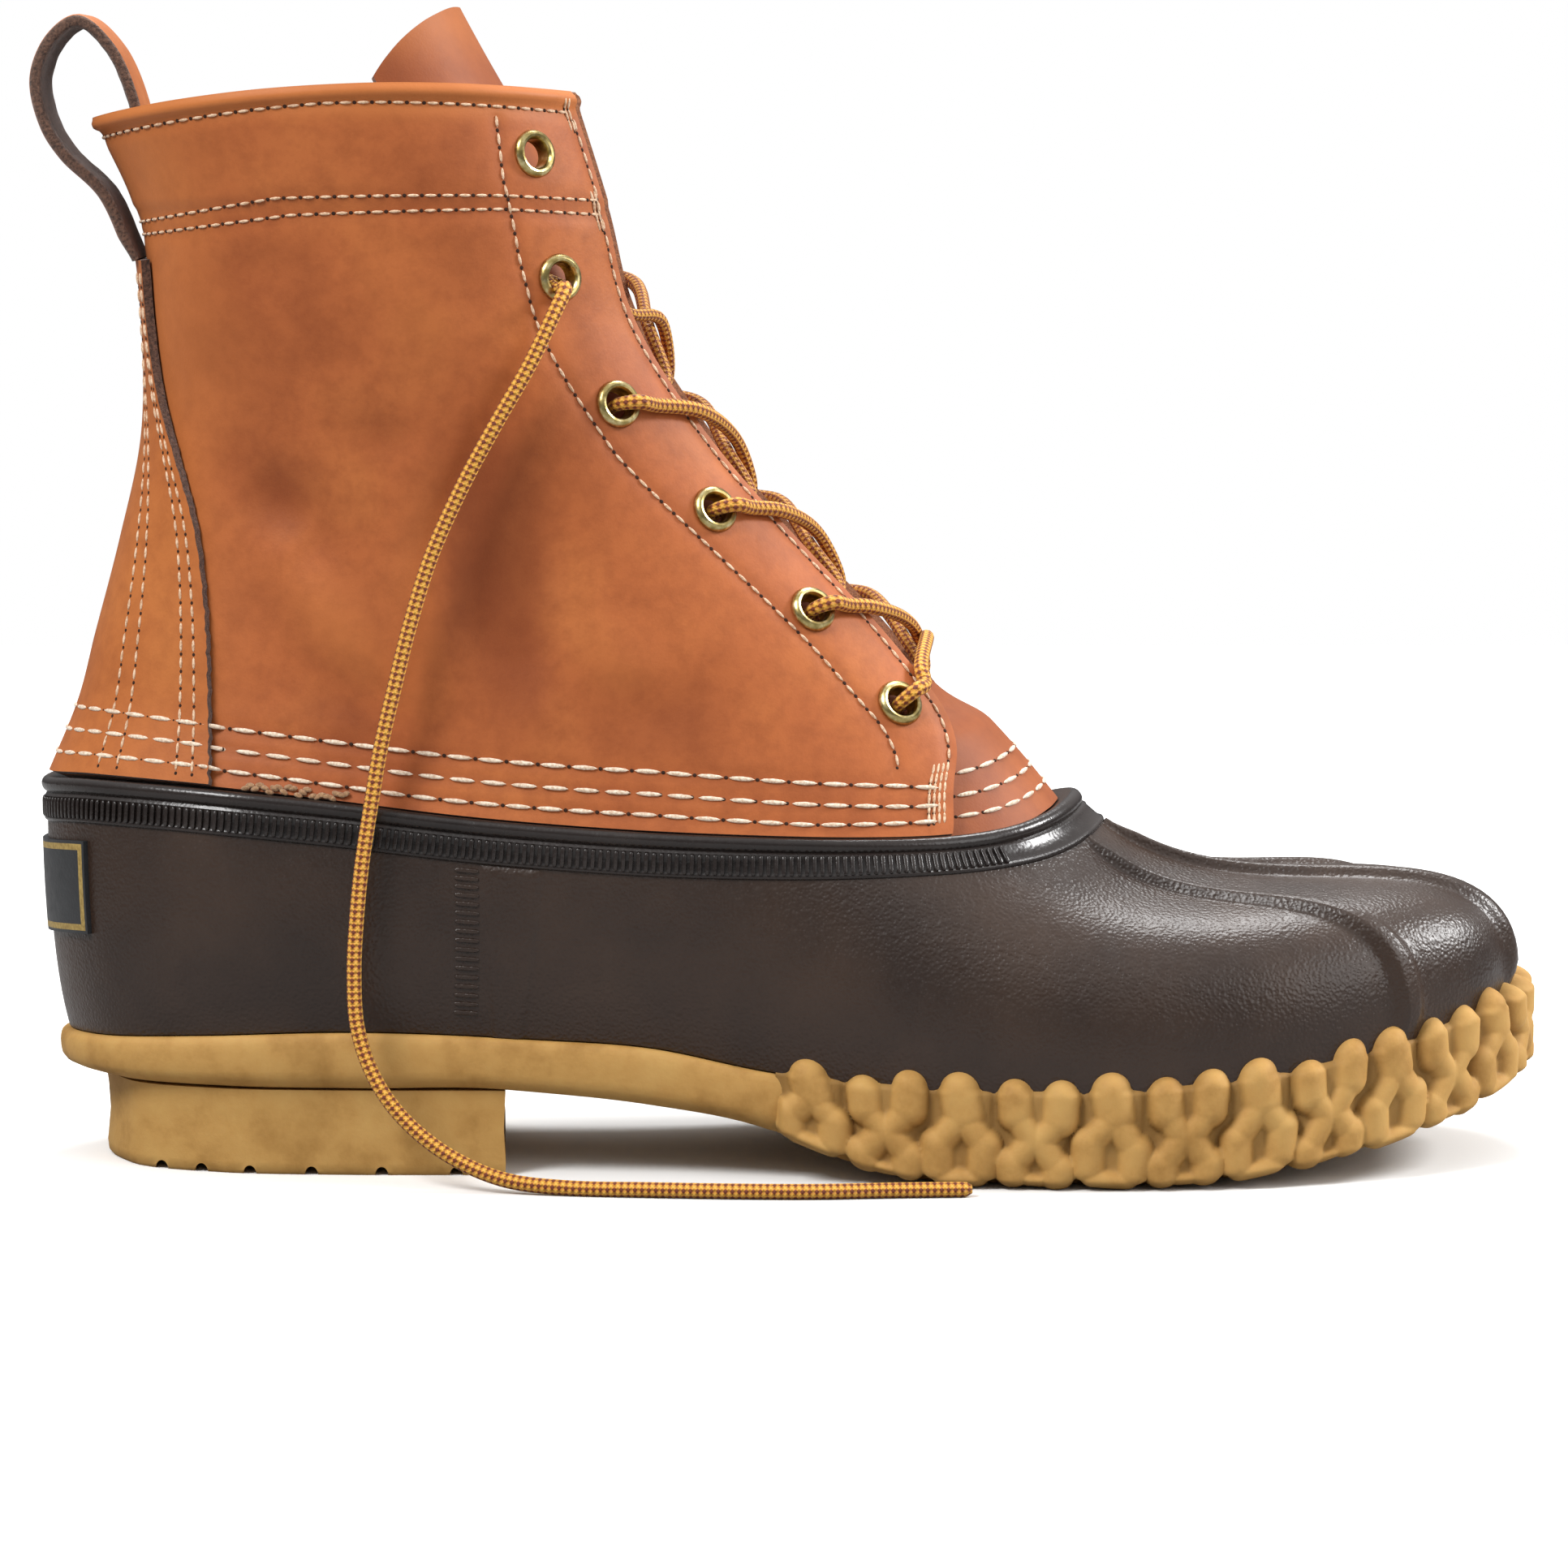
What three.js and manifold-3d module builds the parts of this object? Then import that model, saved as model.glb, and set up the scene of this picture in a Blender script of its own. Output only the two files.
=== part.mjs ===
// Right duck boot: moulded rubber bottom, stitched leather shaft, chain tread sole.
// Millimetres. +X runs to the toe, +Y to the inner (big toe) side, +Z up.
import * as THREE from 'three';
import { mergeVertices } from 'three/addons/utils/BufferGeometryUtils.js';
import Module from 'manifold-3d';

const wasm = await Module();
wasm.setup();

// Driving sizes
const LENGTH = 302;             // sole, from heel to toe
const BALL_WIDTH = 100;         // rubber shell across the ball of the foot
const ANKLE_WIDTH = 72;         // leather across the ankle
const COLLAR_HEIGHT = 213;      // top of the leather at the front of the collar
const RIM_HEIGHT = 76.7;        // lower edge of the leather at the heel
const SEAT_HEIGHT = 25;         // top of the sole at the heel
const HEEL_HEIGHT = 17;         // heel block
const LEATHER = 2;              // wall of the quarters and the tongue
const RUBBER = 2.5;             // wall of the shell
const GAP = 0.3;                // between pieces that meet
const CURVE_GAP = 0.2;          // more between two curved walls

// Sole
const SOLE_LEDGE = 1.6;         // slab beyond the shell
const LINK_PITCH = 14.5;
const LINK_RISE = 1.7;
const LINK_START = 0.487;       // first link behind the ball, as a share of the length
const GROOVE_DEPTH = 2.5;
const GROOVE_WIDTH = 3;
const HEEL_INSET_BACK = 9.5;
const HEEL_INSET_SIDE = 2.4;
const HEEL_FRONT = 0.311;       // heel breast, as a share of the length
const INSOLE = 3;

// Rubber rim
const STRIP_HEIGHT = 9;
const STRIP_RISE = 0.6;
const BEAD_HEIGHT = 3.2;
const BEAD_RISE = 1.1;
const RIM_LEDGE = 0.5;          // bead beyond the leather
const FLANGE = 1.4;
const FLANGE_HEIGHT = 6;
const RIB_WIDTH = 4;
const RIB_RISE = 1.5;

// Leather trim and lacing
const BACKSTAY = 1.8;
const LOOP_WIDTH = 20;
const LOOP_THICKNESS = 2.7;
const LOOP_RISE = 21.7;        // strap above the back of the collar
const LOOP_REACH = 12.2;        // and behind it
const COLLAR_ROLL = 0.9;
const EYELET_RADIUS = 4.75;
const EYELET_BORE = 2.9;
const EYELET_BARREL = 3.5;
const EYELET_FLANGE = 1.2;
const EYELET_INSET = 15;
const LACE = 3;
const LABEL_WIDTH = 44;
const LABEL_HEIGHT = 18.5;
const LABEL_DROP = 12.5;        // below the rim
const LABEL_THICKNESS = 0.8;

// Shell from above, a row for each section from heel to toe. The foot line is the shell's lower edge and the
// rim line is where the leather starts. Along is a share of LENGTH, out and in are shares of BALL_WIDTH,
// rise is the rim's height as a share of RIM_HEIGHT.
const HEEL_POLE = { along: 0.013, side: 0, rimAlong: 0.0085, rise: 1.0 };
const TOE_POLE = { along: 0.980, side: 0.075, rimAlong: 0.6835, rise: 0.959 };
const SECTIONS = [
  { along: 0.048, out: 0.210, in: 0.208, rimAlong: 0.043, rimOut: 0.185, rimIn: 0.185, rise: 1.017 },
  { along: 0.116, out: 0.308, in: 0.300, rimAlong: 0.112, rimOut: 0.297, rimIn: 0.290, rise: 1.010 },
  { along: 0.199, out: 0.338, in: 0.322, rimAlong: 0.193, rimOut: 0.343, rimIn: 0.335, rise: 0.981 },
  { along: 0.298, out: 0.342, in: 0.308, rimAlong: 0.288, rimOut: 0.362, rimIn: 0.345, rise: 0.938 },
  { along: 0.397, out: 0.356, in: 0.303, rimAlong: 0.381, rimOut: 0.380, rimIn: 0.350, rise: 0.910 },
  { along: 0.497, out: 0.405, in: 0.345, rimAlong: 0.464, rimOut: 0.388, rimIn: 0.360, rise: 0.895 },
  { along: 0.596, out: 0.460, in: 0.425, rimAlong: 0.540, rimOut: 0.372, rimIn: 0.352, rise: 0.886 },
  { along: 0.679, out: 0.488, in: 0.468, rimAlong: 0.596, rimOut: 0.330, rimIn: 0.318, rise: 0.886 },
  { along: 0.762, out: 0.482, in: 0.464, rimAlong: 0.636, rimOut: 0.268, rimIn: 0.262, rise: 0.899 },
  { along: 0.844, out: 0.428, in: 0.420, rimAlong: 0.662, rimOut: 0.190, rimIn: 0.190, rise: 0.922 },
  { along: 0.911, out: 0.325, in: 0.352, rimAlong: 0.676, rimOut: 0.115, rimIn: 0.118, rise: 0.944 },
  { along: 0.960, out: 0.175, in: 0.255, rimAlong: 0.682, rimOut: 0.052, rimIn: 0.055, rise: 0.956 },
];

// Sole from the side. Along is a share of LENGTH, top of SEAT_HEIGHT and bottom of HEEL_HEIGHT.
const SIDE_VIEW = [
  { along: 0.000, top: 1.000, bottom: 1.000 },
  { along: 0.100, top: 1.090, bottom: 1.000 },
  { along: 0.217, top: 1.144, bottom: 1.000 },
  { along: 0.300, top: 1.110, bottom: 1.000 },
  { along: 0.330, top: 1.090, bottom: 0.960 },
  { along: 0.407, top: 1.030, bottom: 0.820 },
  { along: 0.480, top: 0.870, bottom: 0.590 },
  { along: 0.530, top: 0.795, bottom: 0.250 },
  { along: 0.570, top: 0.760, bottom: 0.060 },
  { along: 0.600, top: 0.745, bottom: 0.000 },
  { along: 0.660, top: 0.735, bottom: 0.000 },
  { along: 0.730, top: 0.760, bottom: 0.000 },
  { along: 0.790, top: 0.830, bottom: 0.075 },
  { along: 0.850, top: 0.935, bottom: 0.245 },
  { along: 0.900, top: 1.060, bottom: 0.430 },
  { along: 0.950, top: 1.210, bottom: 0.710 },
  { along: 1.000, top: 1.360, bottom: 1.160 },
];

// Shell wall from foot line to rim line, by control rings: inward share of the way, rise share and bulge in
// shares of RUBBER, for an upright wall and for the long toe.
const WALL = [
  { go: 0.00, up: 0.00, bulge: 0.0, toeGo: 0.00, toeUp: 0.00, toeBulge: 0.0 },
  { go: 0.00, up: 0.20, bulge: 1.1, toeGo: -0.04, toeUp: 0.53, toeBulge: 0.6 },
  { go: 0.15, up: 0.45, bulge: 1.2, toeGo: 0.15, toeUp: 0.83, toeBulge: 0.4 },
  { go: 0.50, up: 0.70, bulge: 0.8, toeGo: 0.51, toeUp: 0.45, toeBulge: 0.0 },
  { go: 0.80, up: 0.90, bulge: 0.3, toeGo: 0.79, toeUp: 0.50, toeBulge: 0.0 },
  { go: 1.00, up: 1.00, bulge: 0.0, toeGo: 1.00, toeUp: 1.00, toeBulge: 0.0 },
];

// Leather above the rim, a row for each ring. Back and front are shares of LENGTH, their heights shares of
// COLLAR_HEIGHT, out and in shares of ANKLE_WIDTH; round goes from the foot's plan to an oval.
const RINGS = [
  { level: 0.10, back: 0.0272, backUp: 0.4225, front: 0.6440, frontUp: 0.4130, out: 0.500, in: 0.480, round: 0.15, arch: -0.010 },
  { level: 0.23, back: 0.0410, backUp: 0.4930, front: 0.5860, frontUp: 0.4930, out: 0.480, in: 0.465, round: 0.40, arch: 0 },
  { level: 0.36, back: 0.0580, backUp: 0.5820, front: 0.5260, frontUp: 0.5756, out: 0.472, in: 0.458, round: 0.70, arch: 0 },
  { level: 0.52, back: 0.0735, backUp: 0.6850, front: 0.4640, frontUp: 0.6737, out: 0.490, in: 0.476, round: 0.92, arch: 0 },
  { level: 0.67, back: 0.0742, backUp: 0.7887, front: 0.4140, frontUp: 0.7840, out: 0.520, in: 0.506, round: 1, arch: 0 },
  { level: 0.84, back: 0.0650, backUp: 0.8920, front: 0.3900, frontUp: 0.8920, out: 0.548, in: 0.534, round: 1, arch: 0.006 },
  { level: 1.00, back: 0.0384, backUp: 0.9790, front: 0.3650, frontUp: 1.0000, out: 0.566, in: 0.552, round: 1, arch: 0.019 },
  { level: 1.13, back: 0.0150, backUp: 1.0600, front: 0.3450, frontUp: 1.0850, out: 0.580, in: 0.566, round: 1, arch: 0.019 },
];

// Throat: half of its width as a share of ANKLE_WIDTH
const THROAT = [
  { level: 0.00, half: 0.446 },
  { level: 0.06, half: 0.375 },
  { level: 0.10, half: 0.312 },
  { level: 0.14, half: 0.263 },
  { level: 0.20, half: 0.225 },
  { level: 0.30, half: 0.185 },
  { level: 0.40, half: 0.178 },
  { level: 0.52, half: 0.192 },
  { level: 0.65, half: 0.215 },
  { level: 0.85, half: 0.220 },
  { level: 1.00, half: 0.217 },
  { level: 1.13, half: 0.217 },
];

// Eyelets from the toe up: height, and distance from the throat edge as a share of EYELET_INSET
const EYELETS = [
  { level: 0.164, inset: 0.64 },
  { level: 0.293, inset: 0.84 },
  { level: 0.434, inset: 0.95 },
  { level: 0.577, inset: 1.18 },
  { level: 0.741, inset: 1.15 },
  { level: 0.912, inset: 1.09 },
];

// Tongue: overlap behind the quarters in millimetres as a share of EYELET_INSET, and how far it leans in
const TONGUE = [
  { level: 0.00, overlap: 0.45, lean: 0 },
  { level: 0.30, overlap: 0.60, lean: 0.005 },
  { level: 0.55, overlap: 1.00, lean: 0.020 },
  { level: 0.70, overlap: 1.40, lean: 0.060 },
  { level: 0.85, overlap: 2.10, lean: 0.160 },
  { level: 1.00, overlap: 2.80, lean: 0.280 },
  { level: 1.13, overlap: 3.00, lean: 0.420 },
];
const TONGUE_TOP = 1.13;
const TONGUE_DROP = 0.12;

// Backstay: its edge along the boot as a share of LENGTH
const BACKSTAY_EDGE = [
  { level: 0.00, edge: 0.1200 },
  { level: 0.12, edge: 0.1195 },
  { level: 0.28, edge: 0.1172 },
  { level: 0.40, edge: 0.1100 },
  { level: 0.49, edge: 0.0987 },
  { level: 0.58, edge: 0.0868 },
  { level: 0.68, edge: 0.0800 },
  { level: 0.76, edge: 0.0778 },
];
const BACKSTAY_TOP = 0.76;

// Helpers
const smooth = t => t * t * (3 - 2 * t);
const clamp01 = t => Math.min(1, Math.max(0, t));
const fade = (t, from, to) => smooth(clamp01((t - from) / (to - from)));
const mix = THREE.MathUtils.lerp;

// Cubic curve through values at uneven knots, closed or open
function slopes(knots, values, period) {
  const n = values.length;
  return values.map((value, k) => {
    const closed = period > 0;
    const before = k > 0 ? k - 1 : (closed ? n - 1 : 0);
    const after = k < n - 1 ? k + 1 : (closed ? 0 : n - 1);
    const stepBefore = k > 0 ? knots[k] - knots[before] : (closed ? knots[k] + period - knots[before] : 0);
    const stepAfter = k < n - 1 ? knots[after] - knots[k] : (closed ? knots[after] + period - knots[k] : 0);
    if (stepBefore === 0) return (values[after] - value) / stepAfter;
    if (stepAfter === 0) return (value - values[before]) / stepBefore;
    const riseBefore = (value - values[before]) / stepBefore;
    const riseAfter = (values[after] - value) / stepAfter;
    return (stepAfter * riseBefore + stepBefore * riseAfter) / (stepBefore + stepAfter);
  });
}

function curveThrough(knots, values, period = 0) {
  const slope = slopes(knots, values, period);
  const n = values.length;
  return at => {
    let t = at;
    if (period > 0) t = ((at % period) + period) % period;
    let k = 0;
    const last = period > 0 ? n - 1 : n - 2;
    while (k < last && t >= knots[k + 1]) k += 1;
    const next = (k + 1) % n;
    const step = (k + 1 < n ? knots[k + 1] : period) - knots[k];
    const s = (t - knots[k]) / step;
    if (period === 0 && (s < 0 || s > 1)) {
      const end = s < 0 ? k : next;
      return values[end] + slope[end] * (t - knots[end]);
    }
    const s2 = s * s;
    const s3 = s2 * s;
    return values[k] * (2 * s3 - 3 * s2 + 1) + slope[k] * step * (s3 - 2 * s2 + s)
      + values[next] * (3 * s2 - 2 * s3) + slope[next] * step * (s3 - s2);
  };
}

const column = (rows, knot, name) => curveThrough(rows.map(r => r[knot]), rows.map(r => r[name]));

// Sole heights
const soleTopShare = column(SIDE_VIEW, 'along', 'top');
const soleBottomShare = column(SIDE_VIEW, 'along', 'bottom');
const soleTop = x => SEAT_HEIGHT * soleTopShare(x / LENGTH);
const soleBottom = x => Math.max(0, (HEEL_HEIGHT + GAP) * soleBottomShare(x / LENGTH));

// Foot line and rim line, both on the same knots: 0 at the heel, 0.5 at the toe, lateral side first
function ringPoints(pole, sections, tip, name) {
  const [along, out, inner] = name;
  const point = (x, y) => [x * LENGTH, y * BALL_WIDTH];
  return [
    point(pole[along], 0),
    ...sections.map(r => point(r[along], -r[out])),
    point(tip[along], along === 'along' ? tip.side : 0),
    ...sections.slice().reverse().map(r => point(r[along], r[inner])),
  ];
}

const footPoints = ringPoints(HEEL_POLE, SECTIONS, TOE_POLE, ['along', 'out', 'in']);
const rimPoints = ringPoints(HEEL_POLE, SECTIONS, TOE_POLE, ['rimAlong', 'rimOut', 'rimIn']);
const half = SECTIONS.length + 1;

// Knots by distance, each side scaled to one half
function sideKnots(points) {
  const walked = [0];
  for (let k = 1; k <= points.length; k += 1) {
    const a = points[k - 1];
    const b = points[k % points.length];
    walked.push(walked[k - 1] + Math.hypot(b[0] - a[0], b[1] - a[1]));
  }
  const toToe = walked[half];
  const whole = walked[points.length];
  return walked.slice(0, points.length)
    .map((d, k) => (k <= half ? 0.5 * d / toToe : 0.5 + 0.5 * (d - toToe) / (whole - toToe)));
}

const knots = sideKnots(footPoints);
const turns = sideKnots(rimPoints);
const footX = curveThrough(knots, footPoints.map(p => p[0]), 1);
const footY = curveThrough(knots, footPoints.map(p => p[1]), 1);

// Rings of the leather: at each knot a place between the rim's plan and an oval's
const rimBack = HEEL_POLE.rimAlong * LENGTH;
const rimFront = TOE_POLE.rimAlong * LENGTH;
const rimRise = [HEEL_POLE, ...SECTIONS, TOE_POLE, ...SECTIONS.slice().reverse()].map(r => r.rise * RIM_HEIGHT);
const rimWidest = Math.max(...SECTIONS.map(r => r.rimOut)) * BALL_WIDTH;
const rimWidestIn = Math.max(...SECTIONS.map(r => r.rimIn)) * BALL_WIDTH;

function ringCurves(row) {
  const spots = rimPoints.map(([x, y], k) => {
    const rimAlong = (x - rimBack) / (rimFront - rimBack);
    const rimSide = y < 0 ? y / rimWidest : y / rimWidestIn;
    const angle = turns[k] * 2 * Math.PI;
    const along = mix(rimAlong, (1 - Math.cos(angle)) / 2, row.round);
    const side = mix(rimSide, -Math.sin(angle), row.round);
    const rimDip = rimRise[k] - mix(rimRise[0], rimRise[half], rimAlong);
    const height = mix(row.backUp, row.frontUp, along) * COLLAR_HEIGHT
      + row.arch * COLLAR_HEIGHT * 4 * along * (1 - along) + rimDip * (1 - row.round) * 0.8;
    return [
      mix(row.back, row.front, along) * LENGTH,
      side * ANKLE_WIDTH * (side < 0 ? row.out : row.in),
      height,
    ];
  });
  return [0, 1, 2].map(axis => curveThrough(knots, spots.map(p => p[axis]), 1));
}

const rimCurves = [
  curveThrough(knots, rimPoints.map(p => p[0]), 1),
  curveThrough(knots, rimPoints.map(p => p[1]), 1),
  curveThrough(knots, rimRise, 1),
];
const rings = [rimCurves, ...RINGS.map(ringCurves)];
const levels = [0, ...RINGS.map(r => r.level)];

// Outer face of the leather at u round the boot and level up the shaft
function leather(u, level) {
  return new THREE.Vector3(...[0, 1, 2].map(axis =>
    curveThrough(levels, rings.map(r => r[axis](u)))(level)));
}

function normalOf(surface, u, v) {
  const step = 0.002;
  const du = surface(u + step, v).sub(surface(u - step, v));
  const dv = surface(u, v + step).sub(surface(u, v - step));
  return du.cross(dv).normalize();
}

const off = (surface, u, v, distance) =>
  surface(u, v).addScaledVector(normalOf(surface, u, v), distance);

// Parameter round a ring where a coordinate reaches a value
function findTurn(level, axis, value, from, to) {
  let [low, high] = [from, to];
  const sign = Math.sign(leather(low, level).getComponent(axis) - value);
  for (let k = 0; k < 24; k += 1) {
    const middle = (low + high) / 2;
    if (Math.sign(leather(middle, level).getComponent(axis) - value) === sign) low = middle;
    else high = middle;
  }
  return (low + high) / 2;
}

// Parameter at a distance along a ring
function walk(level, from, distance) {
  const step = Math.sign(distance) * 0.0015;
  let [u, walked] = [from, 0];
  let last = leather(u, level);
  while (walked < Math.abs(distance)) {
    u += step;
    const next = leather(u, level);
    walked += next.distanceTo(last);
    last = next;
  }
  return u;
}

const throatHalf = column(THROAT, 'level', 'half');
const cache = new Map();
function throatEdge(level, side) {
  const key = `${level.toFixed(5)} ${side}`;
  if (!cache.has(key)) {
    const wide = throatHalf(level) * ANKLE_WIDTH;
    cache.set(key, side < 0 ? findTurn(level, 1, -wide, 0.5, 0.36) : findTurn(level, 1, wide, 0.5, 0.64));
  }
  return cache.get(key);
}

// Rubber shell
const footPoint = u => new THREE.Vector3(footX(u), footY(u), 0);
const heelness = u => {
  const fromHeel = Math.abs(((u + 0.5) % 1) - 0.5);
  return 1 - fade(fromHeel, 0.075, 0.115);
};

function rimOuter(u) {
  const proud = RIM_LEDGE + (BACKSTAY + GAP) * heelness(u);
  const out = normalOf(leather, u, 0).setZ(0).normalize();
  const point = leather(u, 0).addScaledVector(out, proud);
  point.z -= GAP;
  return point;
}

const binomial = [1, 5, 10, 10, 5, 1];
const TOE_REACH = LENGTH * (TOE_POLE.along - TOE_POLE.rimAlong);

function shellFrame(u) {
  const foot = footPoint(u);
  foot.z = soleTop(foot.x) + GAP;
  const rim = rimOuter(u);
  const across = new THREE.Vector3(rim.x - foot.x, rim.y - foot.y, 0);
  const step = 0.003;
  const tangent = footPoint(u + step).sub(footPoint(u - step)).normalize();
  const outward = new THREE.Vector3(tangent.y, -tangent.x, 0);
  if (outward.dot(new THREE.Vector3(foot.x - LENGTH * 0.45, foot.y, 0)) < 0) outward.negate();
  const long = fade(across.length() / TOE_REACH, 0.1, 0.95);
  return WALL.map(row => foot.clone()
    .addScaledVector(across, mix(row.go, row.toeGo, long))
    .addScaledVector(outward, mix(row.bulge, row.toeBulge, long) * RUBBER)
    .setZ(mix(foot.z, rim.z, mix(row.up, row.toeUp, long))));
}

const frames = new Map();
function shell(u, v) {
  const key = u.toFixed(5);
  if (!frames.has(key)) frames.set(key, shellFrame(u));
  const point = new THREE.Vector3();
  frames.get(key).forEach((control, k) =>
    point.addScaledVector(control, binomial[k] * v ** k * (1 - v) ** (5 - k)));
  return point;
}

// Share of the wall that lies a distance below the rim
function below(u, distance) {
  let [v, walked] = [1, 0];
  let last = shell(u, 1);
  while (walked < distance) {
    v -= 0.004;
    const next = shell(u, v);
    walked += next.distanceTo(last);
    last = next;
  }
  return v;
}

export { leather, shell, throatEdge, soleTop, soleBottom, footPoint, normalOf, findTurn, walk };

// Mesh builders
function fromGrid(points, indices) {
  const geometry = new THREE.BufferGeometry();
  geometry.setAttribute('position', new THREE.Float32BufferAttribute(points.flatMap(p => p.toArray()), 3));
  geometry.setIndex(indices);
  return facingOut(geometry);
}

function volumeOf(geometry) {
  const index = geometry.index.array;
  const position = geometry.attributes.position;
  const [a, b, c] = [new THREE.Vector3(), new THREE.Vector3(), new THREE.Vector3()];
  let sum = 0;
  for (let k = 0; k < index.length; k += 3) {
    a.fromBufferAttribute(position, index[k]);
    b.fromBufferAttribute(position, index[k + 1]);
    c.fromBufferAttribute(position, index[k + 2]);
    sum += a.dot(b.cross(c)) / 6;
  }
  return sum;
}

function facingOut(geometry) {
  if (volumeOf(geometry) < 0) {
    const index = geometry.index.array;
    for (let k = 0; k < index.length; k += 3) [index[k], index[k + 1]] = [index[k + 1], index[k]];
  }
  return geometry;
}

// A closed wall between two grids of points
function sheet(outer, inner) {
  const [rows, cols] = [outer.length, outer[0].length];
  const points = [...outer.flat(), ...inner.flat()];
  const at = (side, i, j) => side * rows * cols + i * cols + j;
  const indices = [];
  const quad = (a, b, c, d) => indices.push(a, b, c, a, c, d);
  for (let i = 0; i < rows - 1; i += 1) {
    for (let j = 0; j < cols - 1; j += 1) {
      quad(at(0, i, j), at(0, i + 1, j), at(0, i + 1, j + 1), at(0, i, j + 1));
      quad(at(1, i, j), at(1, i, j + 1), at(1, i + 1, j + 1), at(1, i + 1, j));
    }
    quad(at(0, i, 0), at(1, i, 0), at(1, i + 1, 0), at(0, i + 1, 0));
    quad(at(0, i, cols - 1), at(0, i + 1, cols - 1), at(1, i + 1, cols - 1), at(1, i, cols - 1));
  }
  for (let j = 0; j < cols - 1; j += 1) {
    quad(at(0, 0, j), at(0, 0, j + 1), at(1, 0, j + 1), at(1, 0, j));
    quad(at(0, rows - 1, j), at(1, rows - 1, j), at(1, rows - 1, j + 1), at(0, rows - 1, j + 1));
  }
  return fromGrid(points, indices);
}

// A closed section carried round a closed ring
function loop(stations) {
  const [rows, cols] = [stations.length, stations[0].length];
  const indices = [];
  for (let i = 0; i < rows; i += 1) {
    for (let j = 0; j < cols; j += 1) {
      const [a, b] = [i * cols + j, i * cols + (j + 1) % cols];
      const [c, d] = [((i + 1) % rows) * cols + (j + 1) % cols, ((i + 1) % rows) * cols + j];
      indices.push(a, b, c, a, c, d);
    }
  }
  return fromGrid(stations.flat(), indices);
}

// Rings stacked upwards, closed below and above by rungs from side to side
function stack(ringList) {
  const n = ringList[0].length;
  const indices = [];
  for (let k = 0; k < ringList.length - 1; k += 1) {
    for (let i = 0; i < n; i += 1) {
      const [a, b] = [k * n + i, k * n + (i + 1) % n];
      indices.push(a, b, b + n, a, b + n, a + n);
    }
  }
  const last = (ringList.length - 1) * n;
  for (let i = 0; i < n / 2; i += 1) {
    const [a, b] = [i, i + 1];
    const [c, d] = [(n - i - 1) % n, (n - i) % n];
    if (i > 0) {
      indices.push(a, d, b);
      indices.push(last + a, last + b, last + d);
    }
    if (i < n / 2 - 1) {
      indices.push(b, d, c);
      indices.push(last + b, last + c, last + d);
    }
  }
  return fromGrid(ringList.flat(), indices);
}

function toSolid(geometry) {
  const bare = new THREE.BufferGeometry();
  bare.setAttribute('position', geometry.attributes.position.clone());
  if (geometry.index) bare.setIndex(geometry.index.clone());
  const merged = mergeVertices(bare, 1e-4);
  return new wasm.Manifold(new wasm.Mesh({
    numProp: 3,
    vertProperties: new Float32Array(merged.attributes.position.array),
    triVerts: new Uint32Array(merged.index.array),
  }));
}

function toGeometry(solid) {
  const mesh = solid.getMesh();
  const geometry = new THREE.BufferGeometry();
  geometry.setAttribute('position', new THREE.BufferAttribute(mesh.vertProperties, 3));
  geometry.setIndex(new THREE.BufferAttribute(mesh.triVerts, 1));
  return geometry;
}

const spread = (count, from, to) => Array.from({ length: count + 1 }, (_, k) => mix(from, to, k / count));

// Leather shaft: one wall from throat edge to throat edge round the heel
const SHAFT_ROWS = [0, 0.06, 0.13, 0.22, 0.32, 0.43, 0.55, 0.67, 0.79, 0.89, 0.958, 0.968, 0.985, 1];
const SHAFT_ROLL = [0, 0, 0, 0, 0, 0, 0, 0, 0, 0, 0, 0.8, 1, 0.3];
const SHAFT_COLS = 34;

function shaftGrid(depth) {
  return spread(SHAFT_COLS, 0, 1).map(t => SHAFT_ROWS.map((level, k) => {
    const u = mix(throatEdge(level, -1), throatEdge(level, 1) - 1, t);
    const roll = SHAFT_ROLL[k] * COLLAR_ROLL;
    return off(leather, u, level, depth === 0 ? roll : -LEATHER - roll);
  }));
}

const EYELET_SIDES = 8;

function eyeletSpot(row, side) {
  const edge = throatEdge(row.level, side);
  const u = walk(row.level, edge, side * row.inset * EYELET_INSET);
  return { u, side, level: row.level, place: leather(u, row.level), out: normalOf(leather, u, row.level) };
}

const SIDES = [{ side: -1, name: 'outer' }, { side: 1, name: 'inner' }];
const eyelets = EYELETS.flatMap((row, k) => SIDES.map(({ side, name }) =>
  ({ name: `eyelet_${name}_${EYELETS.length - k}`, ...eyeletSpot(row, side) })));
const eyeletNumber = (number, side) =>
  eyelets.find(e => e.name === `eyelet_${side < 0 ? 'outer' : 'inner'}_${number}`);

function turned(geometry, place, out) {
  const turn = new THREE.Quaternion().setFromUnitVectors(new THREE.Vector3(0, 1, 0), out);
  return geometry.clone().applyQuaternion(turn).translate(place.x, place.y, place.z);
}

function leatherShaft() {
  let solid = toSolid(sheet(shaftGrid(0), shaftGrid(1)));
  for (const spot of eyelets) {
    const drill = new THREE.CylinderGeometry(EYELET_BARREL + GAP, EYELET_BARREL + GAP, 12, EYELET_SIDES);
    solid = solid.subtract(toSolid(turned(drill, spot.place, spot.out)));
  }
  return toGeometry(solid);
}

// Tongue
const tongueLean = column(TONGUE, 'level', 'lean');
const tongueOverlap = column(TONGUE, 'level', 'overlap');
const tongueAxis = () => new THREE.Vector3(LENGTH * 0.2, 0, 0);

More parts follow.
